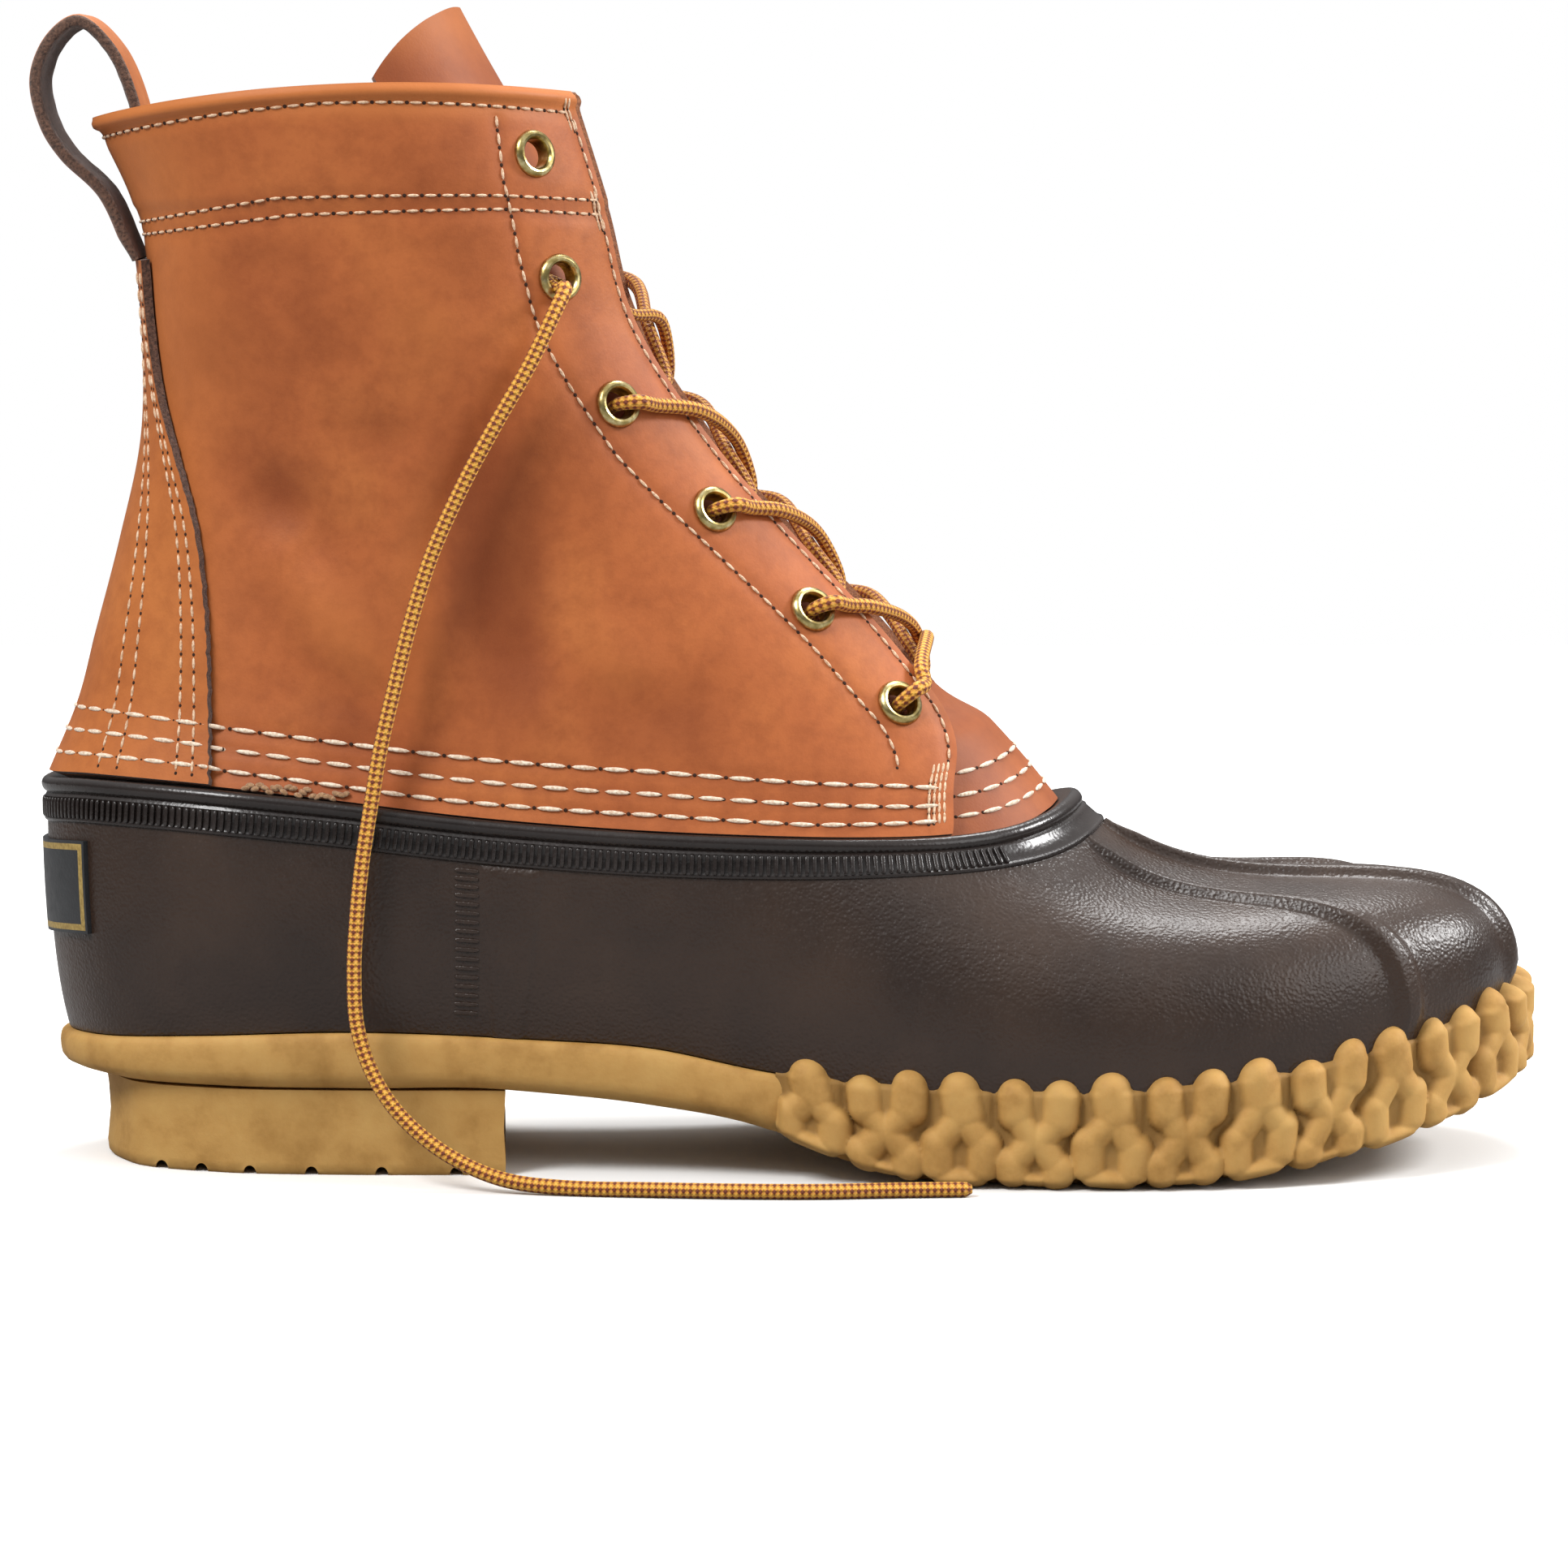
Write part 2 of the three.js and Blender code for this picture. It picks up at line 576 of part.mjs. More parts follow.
function tonguePoint(across, share, depth) {
  const level = share * (TONGUE_TOP - TONGUE_DROP * across ** 4);
  const reach = tongueOverlap(level) * EYELET_INSET;
  const from = walk(level, throatEdge(level, -1), -reach);
  const to = walk(level, throatEdge(level, 1), reach);
  const u = mix(from, to, (across + 1) / 2);
  const point = off(leather, u, level, -LEATHER - GAP - 2 * CURVE_GAP - depth);
  const axis = tongueAxis();
  const lean = tongueLean(level);
  point.x = mix(point.x, axis.x, lean);
  point.y = mix(point.y, axis.y, lean);
  return point;
}

function tongue() {
  const grid = depth => spread(14, -1, 1).map(across => spread(11, 0, 1).map(share =>
    tonguePoint(across, share, depth)));
  return sheet(grid(0), grid(LEATHER));
}

// Backstay
const backstayEdge = column(BACKSTAY_EDGE, 'level', 'edge');

function backstay() {
  const grid = depth => spread(10, -1, 1).map(across => spread(8, 0, 1).map(share => {
    const level = share * BACKSTAY_TOP;
    const reach = findTurn(level, 0, backstayEdge(level) * LENGTH, 0, 0.2);
    return off(leather, -across * reach, level, GAP + CURVE_GAP + depth);
  }));
  return sheet(grid(BACKSTAY), grid(0));
}

// Pull loop: a strap from the top of the backstay up behind the collar and down inside it. Behind is a
// share of LOOP_REACH from the back of the collar, above a share of LOOP_RISE.
const LOOP = [
  { behind: -0.177, above: -0.742 },
  { behind: 0.454, above: -0.364 },
  { behind: 0.754, above: -0.074 },
  { behind: 0.904, above: 0.382 },
  { behind: 0.631, above: 0.770 },
  { behind: 0.200, above: 0.935 },
  { behind: -0.323, above: 0.668 },
  { behind: -0.690, above: 0.161 },
  { behind: -0.800, above: -0.253 },
];
const LOOP_END = 0.80;          // level of its inner end
const LOOP_BORDER = 0.015;      // and of the seam to the backstay's top

function pullLoop() {
  const corner = leather(0, 1);
  const rise = LOOP_RISE - LOOP_THICKNESS / 2;
  const onWall = (level, outside) => {
    const side = findTurn(level, 1, -LOOP_WIDTH / 2, 0, 0.2);
    const wall = leather(outside ? 0 : side, level);
    const away = GAP + CURVE_GAP + LOOP_THICKNESS / 2;
    return new THREE.Vector3(wall.x + (outside ? -away : LEATHER + away), 0, wall.z);
  };
  const path = new THREE.CatmullRomCurve3([
    onWall(BACKSTAY_TOP + LOOP_BORDER, true),
    ...LOOP.map(r => new THREE.Vector3(corner.x - r.behind * LOOP_REACH, 0, corner.z + r.above * rise)),
    onWall((LOOP_END + 0.9) / 2, false),
    onWall(LOOP_END, false),
  ], false, 'centripetal');
  const steps = 26;
  const rim = [];
  for (const side of [1, -1]) {
    const run = spread(steps, 0, 1).map(t => {
      const point = path.getPointAt(t);
      const tangent = path.getTangentAt(t);
      return new THREE.Vector2(point.x - tangent.z * side * LOOP_THICKNESS / 2,
        point.z + tangent.x * side * LOOP_THICKNESS / 2);
    });
    rim.push(...(side > 0 ? run : run.reverse()));
  }
  const geometry = new THREE.ExtrudeGeometry(new THREE.Shape(rim),
    { depth: LOOP_WIDTH, steps: 1, bevelEnabled: false });
  return geometry.rotateX(Math.PI / 2).translate(0, LOOP_WIDTH / 2, 0);
}

// Rubber shell: section from the foot line up the outside, over the rim, and down the inside
const RIBS = [0.425, 0.480, 0.550];
const RIB_SHARE = RIB_WIDTH / LENGTH / 2.2;
const WALL_SHARES = [0, 0.1, 0.22, 0.38, 0.56, 0.78];
const SHELL_TURNS = 54;
const FLANGE_SHIFT = { from: 0.29, to: 0.345 };

function shellTurns() {
  const even = spread(SHELL_TURNS, 0, 1).slice(0, -1)
    .filter(u => RIBS.every(rib => Math.abs(u - rib) > RIB_SHARE * 1.5));
  const ribs = RIBS.flatMap(rib => [-1, -0.5, 0.5, 1].map(k => rib + k * RIB_SHARE));
  return [...even, ...ribs].sort((a, b) => a - b);
}

function shellSection(u) {
  const onRib = RIBS.some(rib => Math.abs(u - rib) < RIB_SHARE * 0.7);
  const strip = below(u, STRIP_HEIGHT);
  const bead = below(u, BEAD_HEIGHT);
  const outer = WALL_SHARES.map(share =>
    off(shell, u, share * strip, onRib && share > 0 ? RIB_RISE : 0));
  const rim = [
    off(shell, u, strip, 0),
    off(shell, u, strip + 0.01, STRIP_RISE),
    off(shell, u, bead, STRIP_RISE),
    off(shell, u, mix(bead, 1, 0.5), BEAD_RISE),
    shell(u, 1),
  ];
  const inFront = fade(0.5 - Math.abs(u - 0.5), FLANGE_SHIFT.from, FLANGE_SHIFT.to);
  const depth = LEATHER + GAP + CURVE_GAP + (LEATHER + GAP + 2 * CURVE_GAP) * inFront;
  const height = FLANGE_HEIGHT / (COLLAR_HEIGHT - RIM_HEIGHT);
  const drop = new THREE.Vector3(0, 0, -GAP);
  const flange = [
    off(leather, u, 0, -depth).add(drop),
    off(leather, u, height, -depth),
    off(leather, u, height, -depth - FLANGE),
    off(leather, u, 0, -depth - FLANGE).add(drop).setZ(leather(u, 0).z - GAP - RUBBER),
  ];
  const inner = WALL_SHARES.slice().reverse().map(share => off(shell, u, share * strip, -RUBBER)
    .setZ(share === 0 ? shell(u, 0).z : off(shell, u, share * strip, -RUBBER).z));
  return [...outer, ...rim, ...flange, ...inner];
}

// Sole outline, a distance outside the foot line, and how far round it a point lies
function outline(u, distance) {
  const step = 0.002;
  const tangent = footPoint(u + step).sub(footPoint(u - step)).normalize();
  return footPoint(u).add(new THREE.Vector3(tangent.y, -tangent.x, 0).multiplyScalar(distance));
}

const facingFront = u => fade(0.5 - Math.abs(u - 0.5), 0.43, 0.5);
const facingBack = u => {
  const step = 0.002;
  const tangent = footPoint(u + step).sub(footPoint(u - step)).normalize();
  return clamp01(-tangent.y * (u < 0.25 || u > 0.75 ? 1 : 0));
};

// Chain links on the side of the forefoot, drawn one pitch wide and one high
const LINK_TALL = [
  [0.14, 1.03], [0.17, 0.62], [0.42, 0.40], [0.42, 0.04], [0.14, 0.00], [0.08, 0.15],
];
const LINK_WIDE = [
  [0.18, 0.68], [0.19, 1.04], [0.42, 1.04], [0.44, 0.70], [0.19, 0.48], [0.38, 0.20], [0.38, 0.00],
];
const LINK_TOP = 1.3;           // arms above the slab
const LINK_SUNK = 1;

function linkShape(side) {
  const right = side.map(([x, y]) => new THREE.Vector2(x, y));
  const left = right.map(p => new THREE.Vector2(-p.x, p.y)).reverse();
  return new THREE.Shape([...right, ...left]);
}

// Table of distance walked round the slab
const WALK_STEPS = 1200;
const walked = [0];
for (let k = 1; k <= WALK_STEPS; k += 1) {
  walked.push(walked[k - 1]
    + outline(k / WALK_STEPS, SOLE_LEDGE).distanceTo(outline((k - 1) / WALK_STEPS, SOLE_LEDGE)));
}
const turnAt = distance => {
  const k = Math.max(1, walked.findIndex(d => d >= distance));
  return (k - 1 + (distance - walked[k - 1]) / (walked[k] - walked[k - 1])) / WALK_STEPS;
};

function chainLinks() {
  const isStart = u => outline(u, 0).x >= LINK_START * LENGTH;
  const turnsAll = spread(WALK_STEPS, 0, 1);
  const first = walked[turnsAll.findIndex(isStart)];
  const last = walked[WALK_STEPS - turnsAll.slice().reverse().findIndex(isStart)];
  const count = Math.floor((last - first) / LINK_PITCH);
  const links = [];
  for (let k = 0; k < count; k += 1) {
    const centre = first + (last - first) * (k + 0.5) / count;
    const shape = linkShape(k % 2 === 0 ? LINK_TALL : LINK_WIDE);
    const link = new THREE.ExtrudeGeometry(shape, { depth: 1, steps: 1, bevelEnabled: false });
    const position = link.attributes.position;
    for (let i = 0; i < position.count; i += 1) {
      const u = turnAt(centre + position.getX(i) * LINK_PITCH);
      const depth = mix(-LINK_SUNK, LINK_RISE, position.getZ(i)) + TOE_SWELL * facingFront(u);
      const spot = outline(u, SOLE_LEDGE + depth);
      const ground = outline(u, SOLE_LEDGE).x;
      const low = soleBottom(ground);
      position.setXYZ(i, spot.x, spot.y, mix(low, soleTop(ground) + LINK_TOP, Math.max(0, position.getY(i))));
    }
    links.push(toSolid(facingOut(welded(link))));
  }
  return links;
}

function welded(geometry) {
  const bare = new THREE.BufferGeometry();
  bare.setAttribute('position', geometry.attributes.position.clone());
  if (geometry.index) bare.setIndex(geometry.index.clone());
  return mergeVertices(bare, 1e-4);
}

// Zigzag grooves between the bars of chain under the forefoot
const GROOVE_FIRST = 0.555;
const GROOVE_LAST = 0.93;
const GROOVE_FOLD = 3;
const GROOVE_FOLDS = 6;
const GROOVE_REACH = 0.80;      // share of the width there

function groove(x, depthTop) {
  const at = footTurn(x);
  const wide = [outline(at, 0).y, outline(1 - at, 0).y];
  const middle = (wide[0] + wide[1]) / 2;
  const reach = (wide[1] - wide[0]) / 2 * GROOVE_REACH;
  const line = spread(GROOVE_FOLDS, -1, 1).map((t, k) =>
    new THREE.Vector2(x + (k % 2 === 0 ? -GROOVE_FOLD : GROOVE_FOLD) / 2, middle + t * reach));
  const front = line.map(p => new THREE.Vector2(p.x + GROOVE_WIDTH / 2, p.y));
  const back = line.map(p => new THREE.Vector2(p.x - GROOVE_WIDTH / 2, p.y)).reverse();
  const depth = GROOVE_DEPTH * 3;
  return new THREE.ExtrudeGeometry(new THREE.Shape([...front, ...back]), { depth, steps: 1, bevelEnabled: false })
    .translate(0, 0, depthTop - depth);
}

function footTurn(x) {
  let [low, high] = [0.02, 0.49];
  for (let k = 0; k < 24; k += 1) {
    const middle = (low + high) / 2;
    if (footX(middle) < x) low = middle;
    else high = middle;
  }
  return (low + high) / 2;
}

const SOLE_TURNS = 64;
const TOE_SWELL = 2.4;          // sole beyond the ledge at the tip of the toe
const SOLE_LAYERS = [
  { up: 0.00, inset: 1.2, heel: 3.0 },
  { up: 0.22, inset: 0.0, heel: 0.6 },
  { up: 0.70, inset: -0.3, heel: 0.0 },
  { up: 1.00, inset: 0.4, heel: 0.0 },
];

function outsole() {
  const ringList = SOLE_LAYERS.map(layer => spread(SOLE_TURNS, 0, 1).slice(0, -1).map(u => {
    const inset = layer.inset + layer.heel * facingBack(u) - TOE_SWELL * facingFront(u);
    const point = outline(u, SOLE_LEDGE - inset);
    return point.setZ(mix(soleBottom(point.x), soleTop(point.x), layer.up));
  }));
  let solid = toSolid(stack(ringList));
  for (const link of chainLinks()) solid = solid.add(link);
  const pitches = Math.floor((GROOVE_LAST - GROOVE_FIRST) * LENGTH / LINK_PITCH);
  for (const share of spread(pitches, GROOVE_FIRST, GROOVE_LAST)) {
    const x = share * LENGTH;
    solid = solid.subtract(toSolid(groove(x, soleBottom(x) + GROOVE_DEPTH)));
  }
  return toGeometry(solid);
}

// Heel block with cross grooves. Along is a share of the block's length, from its back.
const HEEL_GROOVES = [0.16, 0.26, 0.38, 0.53, 0.70, 0.88];
const HEEL_TURNS = 16;

function heel() {
  const breast = HEEL_FRONT * LENGTH;
  const edge = footTurn(breast + 0.01);
  const rim = spread(HEEL_TURNS, -edge, edge).map(u => {
    const inset = mix(HEEL_INSET_SIDE, HEEL_INSET_BACK, facingBack((u + 1) % 1) ** 2);
    const point = outline(u, SOLE_LEDGE - inset);
    return new THREE.Vector2(Math.min(point.x, breast), point.y);
  });
  let solid = toSolid(new THREE.ExtrudeGeometry(new THREE.Shape(rim),
    { depth: HEEL_HEIGHT, steps: 1, bevelEnabled: false }));
  const back = Math.min(...rim.map(p => p.x));
  for (const share of HEEL_GROOVES) {
    const cut = new THREE.BoxGeometry(GROOVE_WIDTH, BALL_WIDTH, GROOVE_DEPTH * 2);
    cut.translate(mix(back, breast, share), 0, 0);
    solid = solid.subtract(toSolid(cut));
  }
  return toGeometry(solid);
}

function insole() {
  const margin = RUBBER + GAP + 0.9;
  const ringAt = lift => spread(SOLE_TURNS, 0, 1).slice(0, -1).map(u => {
    const point = outline(u, -margin);
    return point.setZ(soleTop(point.x) + GAP + CURVE_GAP + lift);
  });
  return stack([ringAt(0), ringAt(INSOLE)]);
}

function heelLabel() {
  const reach = LABEL_WIDTH / 2 / (walked[WALK_STEPS / 2] * 2);
  const grid = depth => spread(6, -1, 1).map(across => spread(3, 0, 1).map(share => {
    const u = across * reach;
    return off(shell, u, below(u, LABEL_DROP + LABEL_HEIGHT * (1 - share)), GAP + depth);
  }));
  return sheet(grid(LABEL_THICKNESS), grid(0));
}

function eyelet(spot) {
  const profile = [
    [EYELET_BORE, -LEATHER], [EYELET_BARREL, -LEATHER], [EYELET_BARREL, GAP], [EYELET_RADIUS, GAP],
    [EYELET_RADIUS - 0.5, GAP + EYELET_FLANGE * 0.8], [EYELET_BORE + 0.6, GAP + EYELET_FLANGE],
    [EYELET_BORE, -LEATHER],
  ];
  const ring = new THREE.LatheGeometry(profile.map(p => new THREE.Vector2(...p)), EYELET_SIDES);
  return facingOut(welded(turned(ring, spot.place, spot.out)));
}

// Lace: tubes on smooth paths
function tube(points, sides, steps) {
  const section = new THREE.Shape(spread(sides, 0, 2 * Math.PI).slice(0, -1)
    .map(a => new THREE.Vector2(Math.cos(a) * LACE / 2, Math.sin(a) * LACE / 2)));
  return new THREE.ExtrudeGeometry(section, {
    steps,
    bevelEnabled: false,
    extrudePath: new THREE.CatmullRomCurve3(points, false, 'centripetal'),
  });
}

const LACE_CLEAR = LACE / 2 + GAP + 0.1;
const CROSS_RISE = 1.6;
const THROAT_START = 2.6;       // lace axis from the throat edge where it dives under

function strand(number, side, fromInside) {
  const [upper, lower] = [eyeletNumber(number, side), eyeletNumber(number + 1, -side)];
  const edge = (level, where, inward) => walk(level, throatEdge(level, where), -where * inward);
  const middleLevel = mix(upper.level, lower.level, 0.5);
  const middle = (throatEdge(middleLevel, -1) + throatEdge(middleLevel, 1)) / 2;
  const crossing = off(leather, middle, middleLevel, CROSS_RISE);
  const startLevel = mix(upper.level, lower.level, 0.12);
  const edgeLevel = mix(upper.level, lower.level, 0.28);
  const endLevel = mix(upper.level, lower.level, 0.8);
  const start = fromInside
    ? [off(leather, edge(edgeLevel, side, THROAT_START), edgeLevel, 0)]
    : [
      off(leather, walk(startLevel, upper.u, -side * (EYELET_RADIUS + LACE * 0.7)), startLevel, LACE_CLEAR),
      off(leather, edge(edgeLevel, side, 0), edgeLevel, LACE_CLEAR + 0.2),
    ];
  const end = off(leather, edge(endLevel, -side, THROAT_START), endLevel, 0);
  return toSolid(tube([...start, crossing, end], 6, 8));
}

function laceBar() {
  const spots = SIDES.map(({ side }) => eyeletNumber(EYELETS.length, side));
  const level = spots[0].level;
  const ends = spots.map(spot => [
    off(leather, walk(level, spot.u, -spot.side * (EYELET_RADIUS + LACE * 0.7)), level, LACE_CLEAR),
    off(leather, throatEdge(level, spot.side), level, LACE_CLEAR + 0.4),
  ]);
  const middle = off(leather, (throatEdge(level, -1) + throatEdge(level, 1)) / 2, level, CROSS_RISE + 1);
  return tube([ends[0][0], ends[0][1], middle, ends[1][1], ends[1][0]], 6, 12);
}

// Free end of the lace, hanging from the second eyelet to the floor and along it
const LACE_ROUTE = [
  [104.5, -35.5, 171.0], [99.5, -38.0, 160.5], [92.9, -39.2, 149.0], [86.4, -39.4, 137.0], [80.3, -39.6, 123.5],
  [75.9, -39.8, 109.5], [73.0, -40.0, 98.0], [70.2, -40.4, 86.0], [68.2, -40.8, 74.5], [66.4, -41.4, 63.0],
  [65.3, -42.0, 52.0], [64.8, -42.6, 41.5], [65.4, -43.6, 31.5], [67.9, -45.2, 23.5], [72.2, -47.2, 16.5],
  [78.4, -49.4, 10.5], [86.0, -51.6, 5.8], [95.0, -53.6, 2.6], [107.0, -56.0, 1.55], [122.5, -58.0, 1.55],
  [138.5, -59.5, 1.55], [154.5, -60.0, 1.55], [170.0, -58.5, 1.55], [185.5, -57.5, 1.55],
];

const LACE_ASIDE = 2.6;         // it lies on the lower edge of the eyelet

function laceEnd() {
  const spot = eyeletNumber(2, -1);
  const route = LACE_ROUTE.map(p => new THREE.Vector3(...p));
  const down = route[0].clone().sub(spot.place).projectOnPlane(spot.out).normalize();
  const above = (height, aside) => spot.place.clone()
    .addScaledVector(spot.out, GAP + EYELET_FLANGE + height).addScaledVector(down, aside);
  return tube([above(0.2, LACE_ASIDE), above(1.3, LACE_ASIDE), above(2.5, LACE_ASIDE + 0.2), ...route], 8, 46);
}

const group = new THREE.Group();
function add(name, geometry, colour, roughness, metalness = 0) {
  const mesh = new THREE.Mesh(geometry, new THREE.MeshStandardMaterial({ color: colour, roughness, metalness }));
  mesh.name = name;
  group.add(mesh);
}

add('outsole', outsole(), 0xc9a65f, 0.75);
add('heel', heel(), 0xc6a25c, 0.75);
add('insole', insole(), 0x4a3a30, 0.9);
add('rubber_shell', loop(shellTurns().map(shellSection)), 0x3b302c, 0.45);
add('leather_shaft', leatherShaft(), 0xb0653a, 0.6);
add('tongue', tongue(), 0xa95f36, 0.6);
add('backstay', backstay(), 0xb96c3c, 0.6);
add('pull_loop', pullLoop(), 0xa5663f, 0.7);
add('heel_label', heelLabel(), 0x2e3033, 0.5);
eyelets.forEach(spot => add(spot.name, eyelet(spot), 0x8f8250, 0.4, 1));
for (let number = 2; number < EYELETS.length; number += 1) {
  const hanging = number === 2;
  const crossing = strand(number, -1, hanging).add(strand(number, 1, false));
  add(`lace_crossing_${number - 1}`, toGeometry(crossing), 0xc98a35, 0.8);
}
add('lace_bar', laceBar(), 0xc98a35, 0.8);
const solid = new THREE.Box3().setFromObject(group);
add('lace_end', laceEnd(), 0xc98a35, 0.8);

// The origin is under the middle of the boot, on the floor
group.position.set(-(solid.min.x + solid.max.x) / 2, -(solid.min.y + solid.max.y) / 2, -solid.min.z);

export default group;
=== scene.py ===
# %% [markdown]
# # A duck boot
# A duck boot is two things sewn together: a moulded rubber bottom that keeps water out, and a leather
# shaft that laces round the ankle. This notebook dresses the CAD solids of one right boot with the skin
# that the eye sees: oiled leather with real stitches, pebbled brown rubber, a tan chain sole, antique
# brass eyelets and a braided lace. Each step says what the piece is, how it could be made, and why this
# way was chosen. First the CAD frame is loaded, because every new piece goes where the CAD says.

import math
import random

import bmesh
import bpy
import numpy as np
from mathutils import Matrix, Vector, kdtree


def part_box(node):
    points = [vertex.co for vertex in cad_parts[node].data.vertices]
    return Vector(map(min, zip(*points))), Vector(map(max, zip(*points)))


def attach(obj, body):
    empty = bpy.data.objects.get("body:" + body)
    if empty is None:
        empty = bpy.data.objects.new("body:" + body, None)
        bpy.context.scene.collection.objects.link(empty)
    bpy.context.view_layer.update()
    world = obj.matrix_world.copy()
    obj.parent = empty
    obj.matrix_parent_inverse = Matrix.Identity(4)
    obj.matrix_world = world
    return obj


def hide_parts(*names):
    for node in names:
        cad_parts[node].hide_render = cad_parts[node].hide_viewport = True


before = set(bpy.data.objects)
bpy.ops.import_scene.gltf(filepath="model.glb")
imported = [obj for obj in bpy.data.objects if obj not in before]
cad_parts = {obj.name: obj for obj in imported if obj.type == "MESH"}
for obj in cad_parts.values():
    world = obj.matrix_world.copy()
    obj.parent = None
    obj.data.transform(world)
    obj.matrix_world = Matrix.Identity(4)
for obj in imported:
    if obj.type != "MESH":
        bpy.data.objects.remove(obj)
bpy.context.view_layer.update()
bpy.ops.object.select_all(action="DESELECT")

# %% [markdown]
# ## The drawing's numbers
# The CAD was drawn in millimetres from the back of the heel, along the middle of the foot. The same few
# sizes and tables are repeated here, so that a skin can be laid exactly on its solid. Two corners of the
# CAD give the shift between that drawing and the frame, so nothing has to be fitted by eye.

# %% Sizes of the boot in millimetres
LENGTH = 302
BALL_WIDTH = 100
ANKLE_WIDTH = 72
COLLAR_HEIGHT = 213
RIM_HEIGHT = 76.7
SEAT_HEIGHT = 25
HEEL_HEIGHT = 17
LEATHER = 2
RUBBER = 2.5
GAP = 0.3
HEEL_FRONT = 0.311
SOLE_LEDGE = 1.6
LACE = 3

MM = 0.001
heel_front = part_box("heel")[1].x / MM
loop_middle = sum(corner.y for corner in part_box("pull_loop")) / 2 / MM
SHIFT = np.array([HEEL_FRONT * LENGTH - heel_front, -loop_middle, 0.0])
print("drawing to frame (mm):", SHIFT.round(3))


def to_frame(points):
    return (np.asarray(points, float) - SHIFT) * MM


def distances_along(points):
    """Distance walked along the points to each of them, from 0."""
    return np.concatenate([[0], np.cumsum(np.linalg.norm(np.diff(points, axis=0), axis=1))])


# %% [markdown]
# ## Camera, floor and light
# The photograph is a catalogue picture: a long lens a little above the boot, looking at its outer side.
# A long lens keeps near and far sides almost the same size. The camera's place and lens were worked out
# from sizes in the picture, and are given in the drawing's millimetres.

# %% Camera
EYE = (149, -1200, 205)
PITCH = math.radians(6.21)
FOCAL_SHARE = 7350 / 1932        # focal length as a share of the picture's width
SENSOR = 36

camera_data = bpy.data.cameras.new("catalogue_lens")
camera_data.sensor_width = SENSOR
camera_data.lens = FOCAL_SHARE * SENSOR
camera_data.clip_end = 20
camera = bpy.data.objects.new("catalogue_camera", camera_data)
camera.location = Vector(to_frame(EYE))
camera.rotation_euler = (math.pi / 2 - PITCH, 0, 0)
bpy.context.scene.collection.objects.link(camera)
bpy.context.scene.camera = camera
print("lens (mm):", round(camera_data.lens, 1))

# %% [markdown]
# ## Colours and nodes
# Paint programs give colours as sRGB hex values, but a renderer adds light, so it wants them linear. One
# function turns them. A second small function adds a node, sets it and links it, so that each material
# below reads as a list of what it is made of.

# %% Helpers for materials


def linear(hex_colour, alpha=1.0):
    value = hex_colour.lstrip("#")
    channels = [int(value[k:k + 2], 16) / 255 for k in (0, 2, 4)]
    return [c / 12.92 if c <= 0.04045 else ((c + 0.055) / 1.055) ** 2.4 for c in channels] + [alpha]


def add_node(tree, kind, inputs=None, **settings):
    made = tree.nodes.new(kind)
    for name, value in settings.items():
        setattr(made, name, value)
    for socket, value in (inputs or {}).items():
        if isinstance(value, bpy.types.NodeSocket):
            tree.links.new(value, made.inputs[socket])
        else:
            made.inputs[socket].default_value = value
    return made


def new_material(name, roughness, metallic=0.0, **sockets):
    """A material with its shader ready: sockets names further inputs of the shader by their words."""
    material = bpy.data.materials.new(name)
    material.use_nodes = True
    tree = material.node_tree
    tree.nodes.clear()
    shader = add_node(tree, "ShaderNodeBsdfPrincipled", {"Roughness": roughness, "Metallic": metallic})
    for words, value in sockets.items():
        shader.inputs[words.replace("_", " ")].default_value = value
    add_node(tree, "ShaderNodeOutputMaterial", {"Surface": shader.outputs[0]})
    return material, tree, shader


def ramp(tree, factor, stops):
    """A colour ramp: stops are pairs of a place and a hex colour."""
    made = add_node(tree, "ShaderNodeValToRGB", {"Fac": factor})
    elements = made.color_ramp.elements
    for k, (place, colour) in enumerate(stops):
        element = elements[k] if k < 2 else elements.new(place)
        element.position = place
        element.color = linear(colour)
    return made.outputs["Color"]


def noise(tree, size_mm, detail=3.0, coords=None, roughness=0.5):
    """Soft noise with spots of about this size."""
    place = coords or add_node(tree, "ShaderNodeTexCoord").outputs["Object"]
    return add_node(tree, "ShaderNodeTexNoise", {
        "Vector": place, "Scale": 1 / (size_mm * MM), "Detail": detail, "Roughness": roughness,
    }).outputs["Fac"]


def math_node(tree, operation, first, second=0.0, third=0.0):
    inputs = {0: first, 1: second, 2: third}
    return add_node(tree, "ShaderNodeMath", inputs, operation=operation).outputs[0]


def blend_colours(tree, factor, first, second, mode="MIX"):
    made = add_node(tree, "ShaderNodeMix", {"Factor": factor}, data_type="RGBA", blend_type=mode)
    for socket, value in ((made.inputs[6], first), (made.inputs[7], second)):
        if isinstance(value, str):
            socket.default_value = linear(value)
        else:
            tree.links.new(value, socket)
    return made.outputs[2]


def bump(tree, height, depth_mm, strength=1.0, under=None):
    inputs = {"Height": height, "Distance": depth_mm * MM, "Strength": strength}
    if under is not None:
        inputs["Normal"] = under
    return add_node(tree, "ShaderNodeBump", inputs).outputs["Normal"]


def attribute(tree, name):
    return add_node(tree, "ShaderNodeAttribute", attribute_name=name).outputs["Fac"]


def dress(tree, shader, colour, normal=None):
    """Gives the shader its colour, and its relief where there is one."""
    tree.links.new(colour, shader.inputs["Base Color"])
    if normal is not None:
        tree.links.new(normal, shader.inputs["Normal"])


